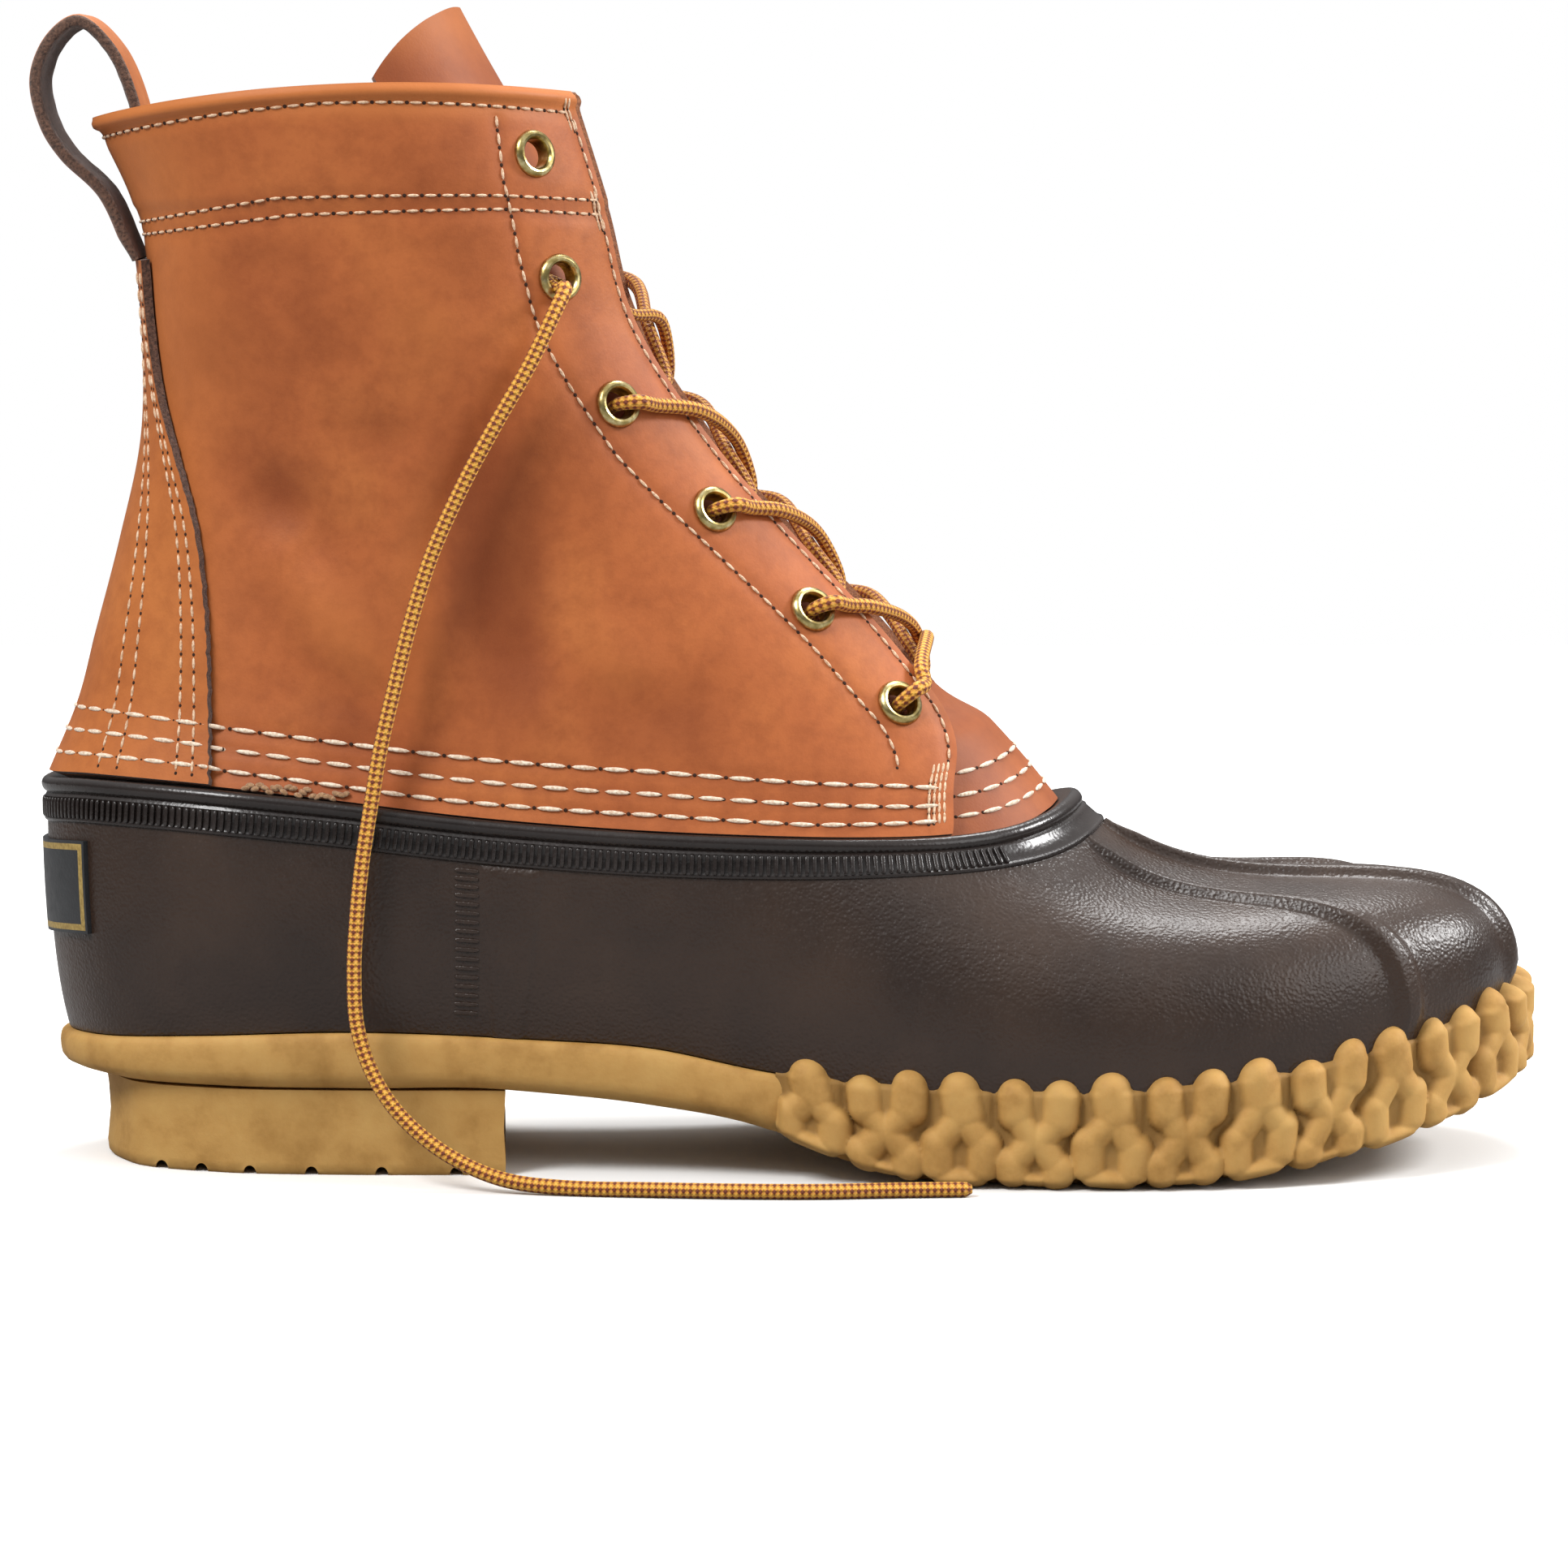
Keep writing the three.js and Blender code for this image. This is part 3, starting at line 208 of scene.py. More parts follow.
def speckled(name, roughness, spots, stops, relief=None, metallic=0.0, spread=0.5, **sockets):
    """A material made from one noise. Spots are its size and detail, relief its depth and strength."""
    material, tree, shader = new_material(name, roughness, metallic, **sockets)
    speck = noise(tree, *spots, roughness=spread)
    dress(tree, shader, ramp(tree, speck, stops), bump(tree, speck, *relief) if relief else None)
    return material


# %% [markdown]
# A catalogue picture has a pure white ground, but a white room would also wash out dark rubber. So the
# floor and the sky are white only where the camera sees them, and greyer for the light that they give:
# in a real studio, black flags do this. From below the floor is clear, so that the tread shows. Four soft
# lights do the modelling: a key high on the left, a fill on the right, one beyond the toe for its shine,
# and one above behind.

# %% Floor and lights
bpy.ops.mesh.primitive_plane_add(size=2.4, location=(0, 0, 0))
floor = bpy.context.object
floor.name = "studio_floor"
paper, tree, shader = new_material("matt_white_paper", 0.9)
seen = add_node(tree, "ShaderNodeLightPath").outputs["Is Camera Ray"]
dress(tree, shader, blend_colours(tree, seen, "#969696", "#fdfdfc"))
from_below = add_node(tree, "ShaderNodeNewGeometry").outputs["Backfacing"]
tree.links.new(math_node(tree, "SUBTRACT", 1.0, from_below), shader.inputs["Alpha"])
floor.data.materials.append(paper)

world = bpy.data.worlds.new("pale_studio")
world.use_nodes = True
tree = world.node_tree
tree.nodes.clear()
direction = add_node(tree, "ShaderNodeTexCoord").outputs["Generated"]
upward = add_node(tree, "ShaderNodeSeparateXYZ", {"Vector": direction}).outputs["Z"]
sky = ramp(tree, upward, [(0.0, "#5e5e60"), (1.0, "#ffffff")])
lit = add_node(tree, "ShaderNodeBackground", {"Color": sky, "Strength": 0.95})
white = add_node(tree, "ShaderNodeBackground", {"Color": linear("#ffffff"), "Strength": 1.0})
seen = add_node(tree, "ShaderNodeLightPath").outputs["Is Camera Ray"]
either = add_node(tree, "ShaderNodeMixShader", {0: seen, 1: lit.outputs[0], 2: white.outputs[0]})
add_node(tree, "ShaderNodeOutputWorld", {"Surface": either.outputs[0]})
bpy.context.scene.world = world
bpy.context.scene.view_settings.view_transform = "Standard"


def soft_light(name, place, target, size, watts):
    data = bpy.data.lights.new(name, "AREA")
    data.shape = "DISK"
    data.size = size
    data.energy = watts
    light = bpy.data.objects.new(name, data)
    light.location = place
    light.rotation_euler = (Vector(target) - Vector(place)).to_track_quat("-Z", "Y").to_euler()
    bpy.context.scene.collection.objects.link(light)


soft_light("key_high_left", (-0.75, -0.75, 1.15), (0, 0, 0.1), 0.6, 17)
soft_light("fill_right", (1.1, -0.9, 0.7), (0.05, 0, 0.08), 0.9, 5)
soft_light("toe_shine", (1.35, 0.15, 0.95), (0.1, 0, 0.05), 0.45, 21)
soft_light("top_back", (0.15, 0.6, 1.2), (0.05, 0, 0.1), 0.6, 9)

# %% [markdown]
# ## The lace that hangs down
# A boot lace is a round braid of eight waxed yarns, here gold with maroon. The free end leaves the second
# eyelet, hangs down beside the shaft, curves out over the heel block and lies on the floor. A cord keeps
# its length however it lies, so its route is settled first: the points are those of its CAD solid. The
# braid is drawn by the material on the tube's own map: one turn round is 0 to 1, and the other way runs
# in millimetres, so the yarns keep their size along the lace.

# %% Tubes along a route


def smooth_route(points, spacing):
    """A centripetal Catmull-Rom curve through the points, sampled at an even spacing."""
    p = np.asarray(points, float)
    p = np.vstack([2 * p[0] - p[1], p, 2 * p[-1] - p[-2]])
    dense = []
    for k in range(1, len(p) - 2):
        steps = np.sqrt(np.linalg.norm(np.diff(p[k - 1:k + 3], axis=0), axis=1))
        t0, t1 = 0.0, max(steps[0], 1e-6)
        t2 = t1 + max(steps[1], 1e-6)
        t3 = t2 + max(steps[2], 1e-6)
        t = np.linspace(t1, t2, 24, endpoint=False)[:, None]
        a1 = (t1 - t) / (t1 - t0) * p[k - 1] + (t - t0) / (t1 - t0) * p[k]
        a2 = (t2 - t) / (t2 - t1) * p[k] + (t - t1) / (t2 - t1) * p[k + 1]
        a3 = (t3 - t) / (t3 - t2) * p[k + 1] + (t - t2) / (t3 - t2) * p[k + 2]
        b1 = (t2 - t) / (t2 - t0) * a1 + (t - t0) / (t2 - t0) * a2
        b2 = (t3 - t) / (t3 - t1) * a2 + (t - t1) / (t3 - t1) * a3
        dense.append((t2 - t) / (t2 - t1) * b1 + (t - t1) / (t2 - t1) * b2)
    dense = np.vstack(dense + [p[-2:-1]])
    walked = distances_along(dense)
    at = np.linspace(0, walked[-1], max(3, int(walked[-1] / spacing) + 1))
    return np.stack([np.interp(at, walked, dense[:, k]) for k in range(3)], axis=1), walked[-1]


def side_frames(route):
    """Two directions square to the route at each point, turned as little as possible along it."""
    tangents = np.gradient(route, axis=0)
    tangents /= np.linalg.norm(tangents, axis=1, keepdims=True)
    side = np.cross(tangents[0], [0.3, 0.2, 1.0])
    sides = []
    for tangent in tangents:
        side = side - tangent * side.dot(tangent)
        side = side / np.linalg.norm(side)
        sides.append(side)
    sides = np.array(sides)
    return sides, np.cross(tangents, sides)


def only(piece):
    bpy.ops.object.select_all(action="DESELECT")
    piece.select_set(True)
    bpy.context.view_layer.objects.active = piece


def edit_mesh(piece, operator, **settings):
    """Runs one of Blender's mesh operators on the whole of a piece."""
    only(piece)
    bpy.ops.object.mode_set(mode="EDIT")
    bpy.ops.mesh.select_all(action="SELECT")
    operator(**settings)
    bpy.ops.object.mode_set(mode="OBJECT")


def ring_faces(rings, n):
    """Faces between rings of n points."""
    return [(k * n + i, k * n + (i + 1) % n, (k + 1) * n + (i + 1) % n, (k + 1) * n + i)
            for k in range(rings - 1) for i in range(n)]


def flat_ends(rings, n):
    return [tuple(range(n))[::-1], tuple(range((rings - 1) * n, rings * n))]


def mesh_piece(name, points, faces, material=None):
    mesh = bpy.data.meshes.new(name)
    mesh.from_pydata([tuple(p) for p in to_frame(points)], [], faces)
    mesh.update()
    piece = bpy.data.objects.new(name, mesh)
    bpy.context.scene.collection.objects.link(piece)
    if material is not None:
        mesh.materials.append(material)
    return piece


def tube(name, route, radius, sides, material):
    """A closed tube with rounded tips. Its map runs round the tube, and along it in millimetres."""
    across, up = side_frames(route)
    count = len(route)
    radii = np.full(count, radius, float)
    radii[[0, -1]] *= 0.55
    radii[[1, -2]] *= 0.92
    angles = np.linspace(0, 2 * np.pi, sides, endpoint=False)
    ring = across[:, None] * np.cos(angles)[None, :, None] + up[:, None] * np.sin(angles)[None, :, None]
    points = (route[:, None] + ring * radii[:, None, None]).reshape(-1, 3)
    piece = mesh_piece(name, points, ring_faces(count, sides) + flat_ends(count, sides), material)
    along = distances_along(route)
    uv = piece.data.uv_layers.new(name="braid")
    for face in piece.data.polygons[:-2]:
        i, j = divmod(face.index, sides)
        corners = [(j, i), (j + 1, i), (j + 1, i + 1), (j, i + 1)]
        for loop_index, (round_at, run_at) in zip(face.loop_indices, corners):
            uv.data[loop_index].uv = (round_at / sides, along[run_at])
    only(piece)
    bpy.ops.object.shade_smooth()
    piece.select_set(False)
    return piece


# %% The braid
# Waxed polyester braid: eight flat yarns over and under, which gives the eye a herringbone of small
# diamonds, gold on most of them and maroon between, with a dull wax shine.
YARNS = 3                        # diamonds round the lace
YARN_PITCH = 2.7                 # millimetres along the lace for one diamond


def braided_lace(name, gold_share):
    material, tree, shader = new_material(name, 0.62, Sheen_Weight=0.08)
    place = add_node(tree, "ShaderNodeUVMap", uv_map="braid").outputs["UV"]
    parts = add_node(tree, "ShaderNodeSeparateXYZ", {"Vector": place})
    turn = math_node(tree, "MULTIPLY", parts.outputs["X"], 2 * math.pi * YARNS)
    run = math_node(tree, "MULTIPLY", parts.outputs["Y"], 2 * math.pi / YARN_PITCH)
    one_way = math_node(tree, "SINE", math_node(tree, "ADD", turn, run))
    other_way = math_node(tree, "SINE", math_node(tree, "SUBTRACT", turn, run))
    over = math_node(tree, "MULTIPLY", one_way, other_way)
    cells = math_node(tree, "MULTIPLY_ADD", over, 0.5, 0.5)
    colour = ramp(tree, cells, [
        (0.0, "#561509"), (gold_share - 0.05, "#7a2a10"), (gold_share + 0.05, "#e0952a"), (1.0, "#f8c24e"),
    ])
    fibre = noise(tree, 0.5, 2)
    colour = blend_colours(tree, math_node(tree, "MULTIPLY", fibre, 0.30), colour, "#a8601c")
    # Partly the braid's maroon yarns, partly painted shade: strands that lie underneath are darkened towards
    # maroon.
    colour = blend_colours(tree, attribute(tree, "maroon_and_shade"), colour, "#7c2f12")
    lift = math_node(tree, "MAXIMUM", math_node(tree, "ABSOLUTE", one_way),
                     math_node(tree, "ABSOLUTE", other_way))
    dress(tree, shader, colour, bump(tree, lift, 0.5))
    return material


lace_gold = braided_lace("waxed_braid_gold", 0.36)
print("yarn diamonds every", YARN_PITCH, "mm")

# %% The hanging end
LACE_ROUTE = [
    (104.5, -35.5, 171.0), (99.5, -38.0, 160.5), (92.9, -39.2, 149.0), (86.4, -39.4, 137.0),
    (80.3, -39.6, 123.5), (75.9, -39.8, 109.5), (73.0, -40.0, 98.0), (70.2, -40.4, 86.0),
    (68.2, -40.8, 74.5), (66.4, -41.4, 63.0), (65.3, -42.0, 52.0), (64.8, -42.6, 41.5),
    (65.4, -43.6, 31.5), (67.9, -45.2, 23.5), (72.2, -47.2, 16.5), (78.4, -49.4, 10.5),
    (86.0, -51.6, 5.8), (95.0, -53.6, 2.6), (107.0, -56.0, 1.55), (122.5, -58.0, 1.55),
    (138.5, -59.5, 1.55), (154.5, -60.0, 1.55), (170.0, -58.5, 1.55), (185.5, -57.5, 1.55),
]
LACE_START = [(105.087, -30.581, 175.195), (105.715, -31.479, 175.289), (106.311, -32.538, 175.231)]
hanging, hanging_length = smooth_route(LACE_START + LACE_ROUTE, 1.0)
lace_hanging = tube("lace_hanging", hanging, LACE / 2, 12, lace_gold)
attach(lace_hanging, "root")
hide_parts("lace_end")
print("hanging lace (mm):", round(hanging_length, 1))

# %% [markdown]
# ## The last, as formulas
# A shoemaker's last has hardly a straight line on it. It could be sculpted, but a seam, an eyelet and a
# crease then have to be aimed by eye. Here the two walls of the boot are surfaces with an address: round
# the foot from 0 at the heel to 0.5 at the toe by the outer side, and up from 0 to 1. These are the same
# tables as the CAD's, so a skin laid by them covers its solid exactly, and a stitch can be given a place
# and always sits on the leather.

# %% Tables of the last
HEEL_POLE = {"along": 0.013, "side": 0, "rim_along": 0.0085, "rise": 1.0}
TOE_POLE = {"along": 0.980, "side": 0.075, "rim_along": 0.6835, "rise": 0.959}
SECTIONS = [      # along, out, in, rim along, rim out, rim in, rise
    (0.048, 0.210, 0.208, 0.043, 0.185, 0.185, 1.017),
    (0.116, 0.308, 0.300, 0.112, 0.297, 0.290, 1.010),
    (0.199, 0.338, 0.322, 0.193, 0.343, 0.335, 0.981),
    (0.298, 0.342, 0.308, 0.288, 0.362, 0.345, 0.938),
    (0.397, 0.356, 0.303, 0.381, 0.380, 0.350, 0.910),
    (0.497, 0.405, 0.345, 0.464, 0.388, 0.360, 0.895),
    (0.596, 0.460, 0.425, 0.540, 0.372, 0.352, 0.886),
    (0.679, 0.488, 0.468, 0.596, 0.330, 0.318, 0.886),
    (0.762, 0.482, 0.464, 0.636, 0.268, 0.262, 0.899),
    (0.844, 0.428, 0.420, 0.662, 0.190, 0.190, 0.922),
    (0.911, 0.325, 0.352, 0.676, 0.115, 0.118, 0.944),
    (0.960, 0.175, 0.255, 0.682, 0.052, 0.055, 0.956),
]
SIDE_VIEW = np.array([      # along, top of the sole, bottom of the sole
    (0.000, 1.000, 1.000), (0.100, 1.090, 1.000), (0.217, 1.144, 1.000), (0.300, 1.110, 1.000),
    (0.330, 1.090, 0.960), (0.407, 1.030, 0.820), (0.480, 0.870, 0.590), (0.530, 0.795, 0.250),
    (0.570, 0.760, 0.060), (0.600, 0.745, 0.000), (0.660, 0.735, 0.000), (0.730, 0.760, 0.000),
    (0.790, 0.830, 0.075), (0.850, 0.935, 0.245), (0.900, 1.060, 0.430), (0.950, 1.210, 0.710),
    (1.000, 1.360, 1.160),
])
WALL = [      # go, up, bulge, and the same for the long toe
    (0.00, 0.00, 0.0, 0.00, 0.00, 0.0), (0.00, 0.20, 1.1, -0.04, 0.53, 0.6),
    (0.15, 0.45, 1.2, 0.15, 0.83, 0.4), (0.50, 0.70, 0.8, 0.51, 0.45, 0.0),
    (0.80, 0.90, 0.3, 0.79, 0.50, 0.0), (1.00, 1.00, 0.0, 1.00, 1.00, 0.0),
]
RINGS = [      # level, back, back up, front, front up, out, in, round, arch
    (0.10, 0.0272, 0.4225, 0.6440, 0.4130, 0.500, 0.480, 0.15, -0.010),
    (0.23, 0.0410, 0.4930, 0.5860, 0.4930, 0.480, 0.465, 0.40, 0.0),
    (0.36, 0.0580, 0.5820, 0.5260, 0.5756, 0.472, 0.458, 0.70, 0.0),
    (0.52, 0.0735, 0.6850, 0.4640, 0.6737, 0.490, 0.476, 0.92, 0.0),
    (0.67, 0.0742, 0.7887, 0.4140, 0.7840, 0.520, 0.506, 1.0, 0.0),
    (0.84, 0.0650, 0.8920, 0.3900, 0.8920, 0.548, 0.534, 1.0, 0.006),
    (1.00, 0.0384, 0.9790, 0.3650, 1.0000, 0.566, 0.552, 1.0, 0.019),
    (1.13, 0.0150, 1.0600, 0.3450, 1.0850, 0.580, 0.566, 1.0, 0.019),
]
THROAT = np.array([      # level, half of the throat's width
    (0.00, 0.446), (0.06, 0.375), (0.10, 0.312), (0.14, 0.263), (0.20, 0.225), (0.30, 0.185),
    (0.40, 0.178), (0.52, 0.192), (0.65, 0.215), (0.85, 0.220), (1.00, 0.217), (1.13, 0.217),
])

# %% Curves through a table


def slopes(knots, values, period):
    """Slope at each knot, from the rises on both sides: the nearer side weighs more."""
    if period:
        knots = np.concatenate([[knots[-1] - period], knots, [knots[0] + period]])
        values = np.concatenate([values[-1:], values, values[:1]])
    steps = np.diff(knots).reshape((-1,) + (1,) * (values.ndim - 1))
    rises = np.diff(values, axis=0) / steps
    inner = (steps[1:] * rises[:-1] + steps[:-1] * rises[1:]) / (steps[:-1] + steps[1:])
    return inner if period else np.concatenate([rises[:1], inner, rises[-1:]])


def curve_through(knots, values, at, period=0, slope=None):
    """Cubic curve through values at uneven knots. Values may have one column for each place in at."""
    knots = np.asarray(knots, float)
    values = np.asarray(values, float)
    at = np.atleast_1d(np.asarray(at, float))
    if period:
        at = np.mod(at, period)
    if slope is None:
        slope = slopes(knots, values, period)
    n = len(knots)
    last = n - 1 if period else n - 2
    k = np.clip(np.searchsorted(knots, at, side="right") - 1, 0, last)
    after = (k + 1) % n
    step = np.where(k + 1 < n, knots[after], period) - knots[k]
    s = (at - knots[k]) / step
    s_in = s if period else np.clip(s, 0, 1)
    beyond = (s - s_in) * step
    if values.ndim == 3:
        spot = np.arange(len(at))
        v0, v1, m0, m1 = values[k, spot], values[after, spot], slope[k, spot], slope[after, spot]
    else:
        v0, v1, m0, m1 = values[k], values[after], slope[k], slope[after]
    if v0.ndim == 2:
        s_in, step, beyond = s_in[:, None], step[:, None], beyond[:, None]
    s2, s3 = s_in ** 2, s_in ** 3
    inside = v0 * (2 * s3 - 3 * s2 + 1) + m0 * step * (s3 - 2 * s2 + s_in) \
        + v1 * (3 * s2 - 2 * s3) + m1 * step * (s3 - s2)
    return inside + beyond * np.where(beyond < 0, m0, m1)


def table_curve(table, column, at):
    return curve_through(table[:, 0], table[:, column], at)


def mix(a, b, t):
    return a + (b - a) * t


def fade(t, start, stop):
    t = np.clip((np.asarray(t, float) - start) / (stop - start), 0, 1)
    return t * t * (3 - 2 * t)


def unit(vectors):
    return vectors / np.maximum(np.linalg.norm(vectors, axis=-1, keepdims=True), 1e-9)


def sole_top(x):
    return SEAT_HEIGHT * table_curve(SIDE_VIEW, 1, np.asarray(x) / LENGTH)


def sole_bottom(x):
    share = table_curve(SIDE_VIEW, 2, np.asarray(x) / LENGTH)
    return np.maximum(0, (HEEL_HEIGHT + GAP) * share)


# %% Foot line, rim line and the rings of the shaft


def closed_plan(along, out, inner, pole, tip):
    outer = [(r[along], -r[out]) for r in SECTIONS]
    back = [(r[along], r[inner]) for r in SECTIONS[::-1]]
    return np.array([pole] + outer + [tip] + back) * [LENGTH, BALL_WIDTH]


def side_knots(points):
    closed = np.vstack([points, points[:1]])
    walked = distances_along(closed)
    half = len(SECTIONS) + 1
    k = np.arange(len(points))
    beyond = 0.5 + 0.5 * (walked[:-1] - walked[half]) / (walked[-1] - walked[half])
    return np.where(k <= half, 0.5 * walked[:-1] / walked[half], beyond)


foot_plan = closed_plan(0, 1, 2, (HEEL_POLE["along"], 0), (TOE_POLE["along"], TOE_POLE["side"]))
rim_plan = closed_plan(3, 4, 5, (HEEL_POLE["rim_along"], 0), (TOE_POLE["rim_along"], 0))
knots = side_knots(foot_plan)
turns = side_knots(rim_plan)
rises = [r[6] for r in SECTIONS]
rim_rise = np.array([HEEL_POLE["rise"]] + rises + [TOE_POLE["rise"]] + rises[::-1]) * RIM_HEIGHT


def shaft_ring(row):
    level, back, back_up, front, front_up, out, inner, roundness, arch = row
    x, y = rim_plan[:, 0], rim_plan[:, 1]
    rim_back, rim_front = HEEL_POLE["rim_along"] * LENGTH, TOE_POLE["rim_along"] * LENGTH
    widest = np.where(y < 0, max(r[4] for r in SECTIONS), max(r[5] for r in SECTIONS)) * BALL_WIDTH
    rim_along = (x - rim_back) / (rim_front - rim_back)
    angle = turns * 2 * np.pi
    along = mix(rim_along, (1 - np.cos(angle)) / 2, roundness)
    side = mix(y / widest, -np.sin(angle), roundness)
    dip = rim_rise - mix(rim_rise[0], rim_rise[len(SECTIONS) + 1], rim_along)
    height = mix(back_up, front_up, along) * COLLAR_HEIGHT
    height = height + arch * COLLAR_HEIGHT * 4 * along * (1 - along) + dip * (1 - roundness) * 0.8
    width = np.where(side < 0, out, inner)
    return np.stack([mix(back, front, along) * LENGTH, side * ANKLE_WIDTH * width, height], axis=1)


shaft_rings = np.hstack([np.column_stack([rim_plan, rim_rise])] + [shaft_ring(row) for row in RINGS])
shaft_slopes = slopes(knots, shaft_rings, 1)
foot_slopes = slopes(knots, foot_plan, 1)
levels = np.array([0.0] + [row[0] for row in RINGS])


def foot_line(u):
    flat = curve_through(knots, foot_plan, u, 1, foot_slopes)
    return np.column_stack([flat, np.zeros(len(flat))])


def leather(u, level):
    """Outer face of the leather: u round the boot, level up the shaft."""
    u, level = np.broadcast_arrays(np.atleast_1d(u), np.atleast_1d(level))
    rings = curve_through(knots, shaft_rings, u, 1, shaft_slopes)
    rings = rings.reshape(len(rings), len(levels), 3).transpose(1, 0, 2)
    return curve_through(levels, rings, level)


def normal_of(surface, u, v, step=0.002):
    du = surface(u + step, v) - surface(u - step, v)
    dv = surface(u, v + step) - surface(u, v - step)
    return unit(np.cross(du, dv))


def address(u, v):
    return np.broadcast_arrays(np.atleast_1d(np.asarray(u, float)), np.atleast_1d(np.asarray(v, float)))


def off(surface, u, v, distance):
    """Points at a distance off a surface."""
    u, v = address(u, v)
    return surface(u, v) + normal_of(surface, u, v) * np.reshape(distance, (-1, 1))


def find_turn(level, axis, value, start, stop):
    """Turn where the ring at this level reaches a value along x (axis 0) or y (axis 1), by halving."""
    level = np.atleast_1d(np.asarray(level, float))
    low, high = np.full(len(level), float(start)), np.full(len(level), float(stop))
    sign = np.sign(leather(low, level)[:, axis] - value)
    for _ in range(24):
        middle = (low + high) / 2
        same = np.sign(leather(middle, level)[:, axis] - value) == sign
        low, high = np.where(same, middle, low), np.where(same, high, middle)
    return (low + high) / 2


EDGE_LEVELS = np.linspace(-0.02, 1.15, 235)
throat_width = table_curve(THROAT, 1, EDGE_LEVELS) * ANKLE_WIDTH
edge_turns = {
    -1: find_turn(EDGE_LEVELS, 1, -throat_width, 0.5, 0.30),
    1: find_turn(EDGE_LEVELS, 1, throat_width, 0.5, 0.70),
}


def throat_edge(level, side):
    return np.interp(level, EDGE_LEVELS, edge_turns[side])


def walk(level, start, distance):
    """Turn that lies a distance in millimetres along the ring at this level."""
    direction = 1 if distance >= 0 else -1
    reach = start + direction * np.linspace(0, 0.35, 300)
    points = leather(reach, np.full(300, float(level)))
    walked = distances_along(points)
    return float(np.interp(abs(distance), walked, reach))


# %% The rubber wall
RIM_LEDGE = 0.5
BACKSTAY = 1.8
BACKSTAY_ENDS = (0.075, 0.115)   # turns over which the rim comes back in beside the backstay
BINOMIAL = (1, 5, 10, 10, 5, 1)
TOE_REACH = LENGTH * (TOE_POLE["along"] - TOE_POLE["rim_along"])


def rim_outer(u):
    from_heel = np.abs(np.mod(u + 0.5, 1) - 0.5)
    proud = RIM_LEDGE + (BACKSTAY + GAP) * (1 - fade(from_heel, *BACKSTAY_ENDS))
    out = normal_of(leather, u, np.zeros_like(u))
    out[:, 2] = 0
    return leather(u, 0) + unit(out) * proud[:, None] - [0, 0, GAP]


def plan_outward(u, step=0.003):
    tangent = unit(foot_line(u + step) - foot_line(u - step))
    return np.column_stack([tangent[:, 1], -tangent[:, 0], np.zeros(len(u))])


def shell_controls(u):
    """Six control points of the wall at each turn, from the sole to the leather."""
    foot = foot_line(u)
    foot[:, 2] = sole_top(foot[:, 0]) + GAP
    rim = rim_outer(u)
    across = rim - foot
    across[:, 2] = 0
    outward = plan_outward(u)
    long = fade(np.linalg.norm(across, axis=1) / TOE_REACH, 0.1, 0.95)
    controls = []
    for go, up, bulge, toe_go, toe_up, toe_bulge in WALL:
        control = foot + across * mix(go, toe_go, long)[:, None] \
            + outward * (mix(bulge, toe_bulge, long) * RUBBER)[:, None]
        control[:, 2] = mix(foot[:, 2], rim[:, 2], mix(up, toe_up, long))
        controls.append(control)
    return controls


def on_wall_curve(controls, v):
    v = np.reshape(v, (-1, 1))
    return sum(c * (BINOMIAL[k] * v ** k * (1 - v) ** (5 - k)) for k, c in enumerate(controls))


def shell(u, v):
    """Outer face of the rubber: v from 0 at the sole to 1 at the leather."""
    u, v = address(u, v)
    return on_wall_curve(shell_controls(u), v)


def below_rim(u, distances):
    """Shares of the wall that lie these distances in millimetres under the rim, for each turn."""
    shares = np.linspace(1, 0.2, 81)
    controls = shell_controls(u)
    points = np.stack([on_wall_curve(controls, np.full(len(u), s)) for s in shares])
    walked = np.concatenate([np.zeros((1, len(u))),
                             np.cumsum(np.linalg.norm(np.diff(points, axis=0), axis=2), axis=0)])
    return np.array([[np.interp(d, walked[:, k], shares) for d in distances] for k in range(len(u))])


check = leather(0.2, 0.5)[0]
print("leather at 0.2, 0.5 (mm):", check.round(2), "rubber at 0.37, 0.6:", shell(0.37, 0.6)[0].round(2))

# %% [markdown]
# ## Skins laid on the last
# A skin starts as Blender's own grid, as wide and high as it needs points, and each point is then put at
# its address on the surface. Solidify gives the hide its thickness, and the modifier is applied, so that
# what is seen is a real closed mesh.

# %% Helpers for pieces


def patch(name, across, up, place, material=None, closed=False):
    """A grid whose points are put on a surface. place takes shares across and up, and gives millimetres."""
    bpy.ops.object.select_all(action="DESELECT")
    bpy.ops.mesh.primitive_grid_add(x_subdivisions=across, y_subdivisions=up, size=2)
    piece = bpy.context.object
    piece.name = piece.data.name = name
    flat = np.empty(len(piece.data.vertices) * 3)
    piece.data.vertices.foreach_get("co", flat)
    points = place((flat[0::3] + 1) / 2, (flat[1::3] + 1) / 2)
    piece.data.vertices.foreach_set("co", to_frame(points).ravel())
    if closed:
        edit_mesh(piece, bpy.ops.mesh.remove_doubles, threshold=0.00001)
    if material is not None:
        piece.data.materials.append(material)
    return piece


def modifier(piece, kind, **settings):
    only(piece)
    made = piece.modifiers.new(kind.lower(), kind)
    for name, value in settings.items():
        setattr(made, name, value)
    bpy.ops.object.modifier_apply(modifier=made.name)


def finish(piece, replaced=(), smooth_angle=40):
    """Shades a finished piece, fixes it to the boot and hides the CAD nodes that it stands for."""
    only(piece)
    bpy.ops.object.shade_smooth_by_angle(angle=math.radians(smooth_angle))
    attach(piece, "root")
    if replaced:
        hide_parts(*replaced)
    bpy.ops.object.select_all(action="DESELECT")
    print(piece.name, "faces:", len(piece.data.polygons))


def points_of(piece):
    flat = np.empty(len(piece.data.vertices) * 3)
    piece.data.vertices.foreach_get("co", flat)
    return flat.reshape(-1, 3) / MM + SHIFT


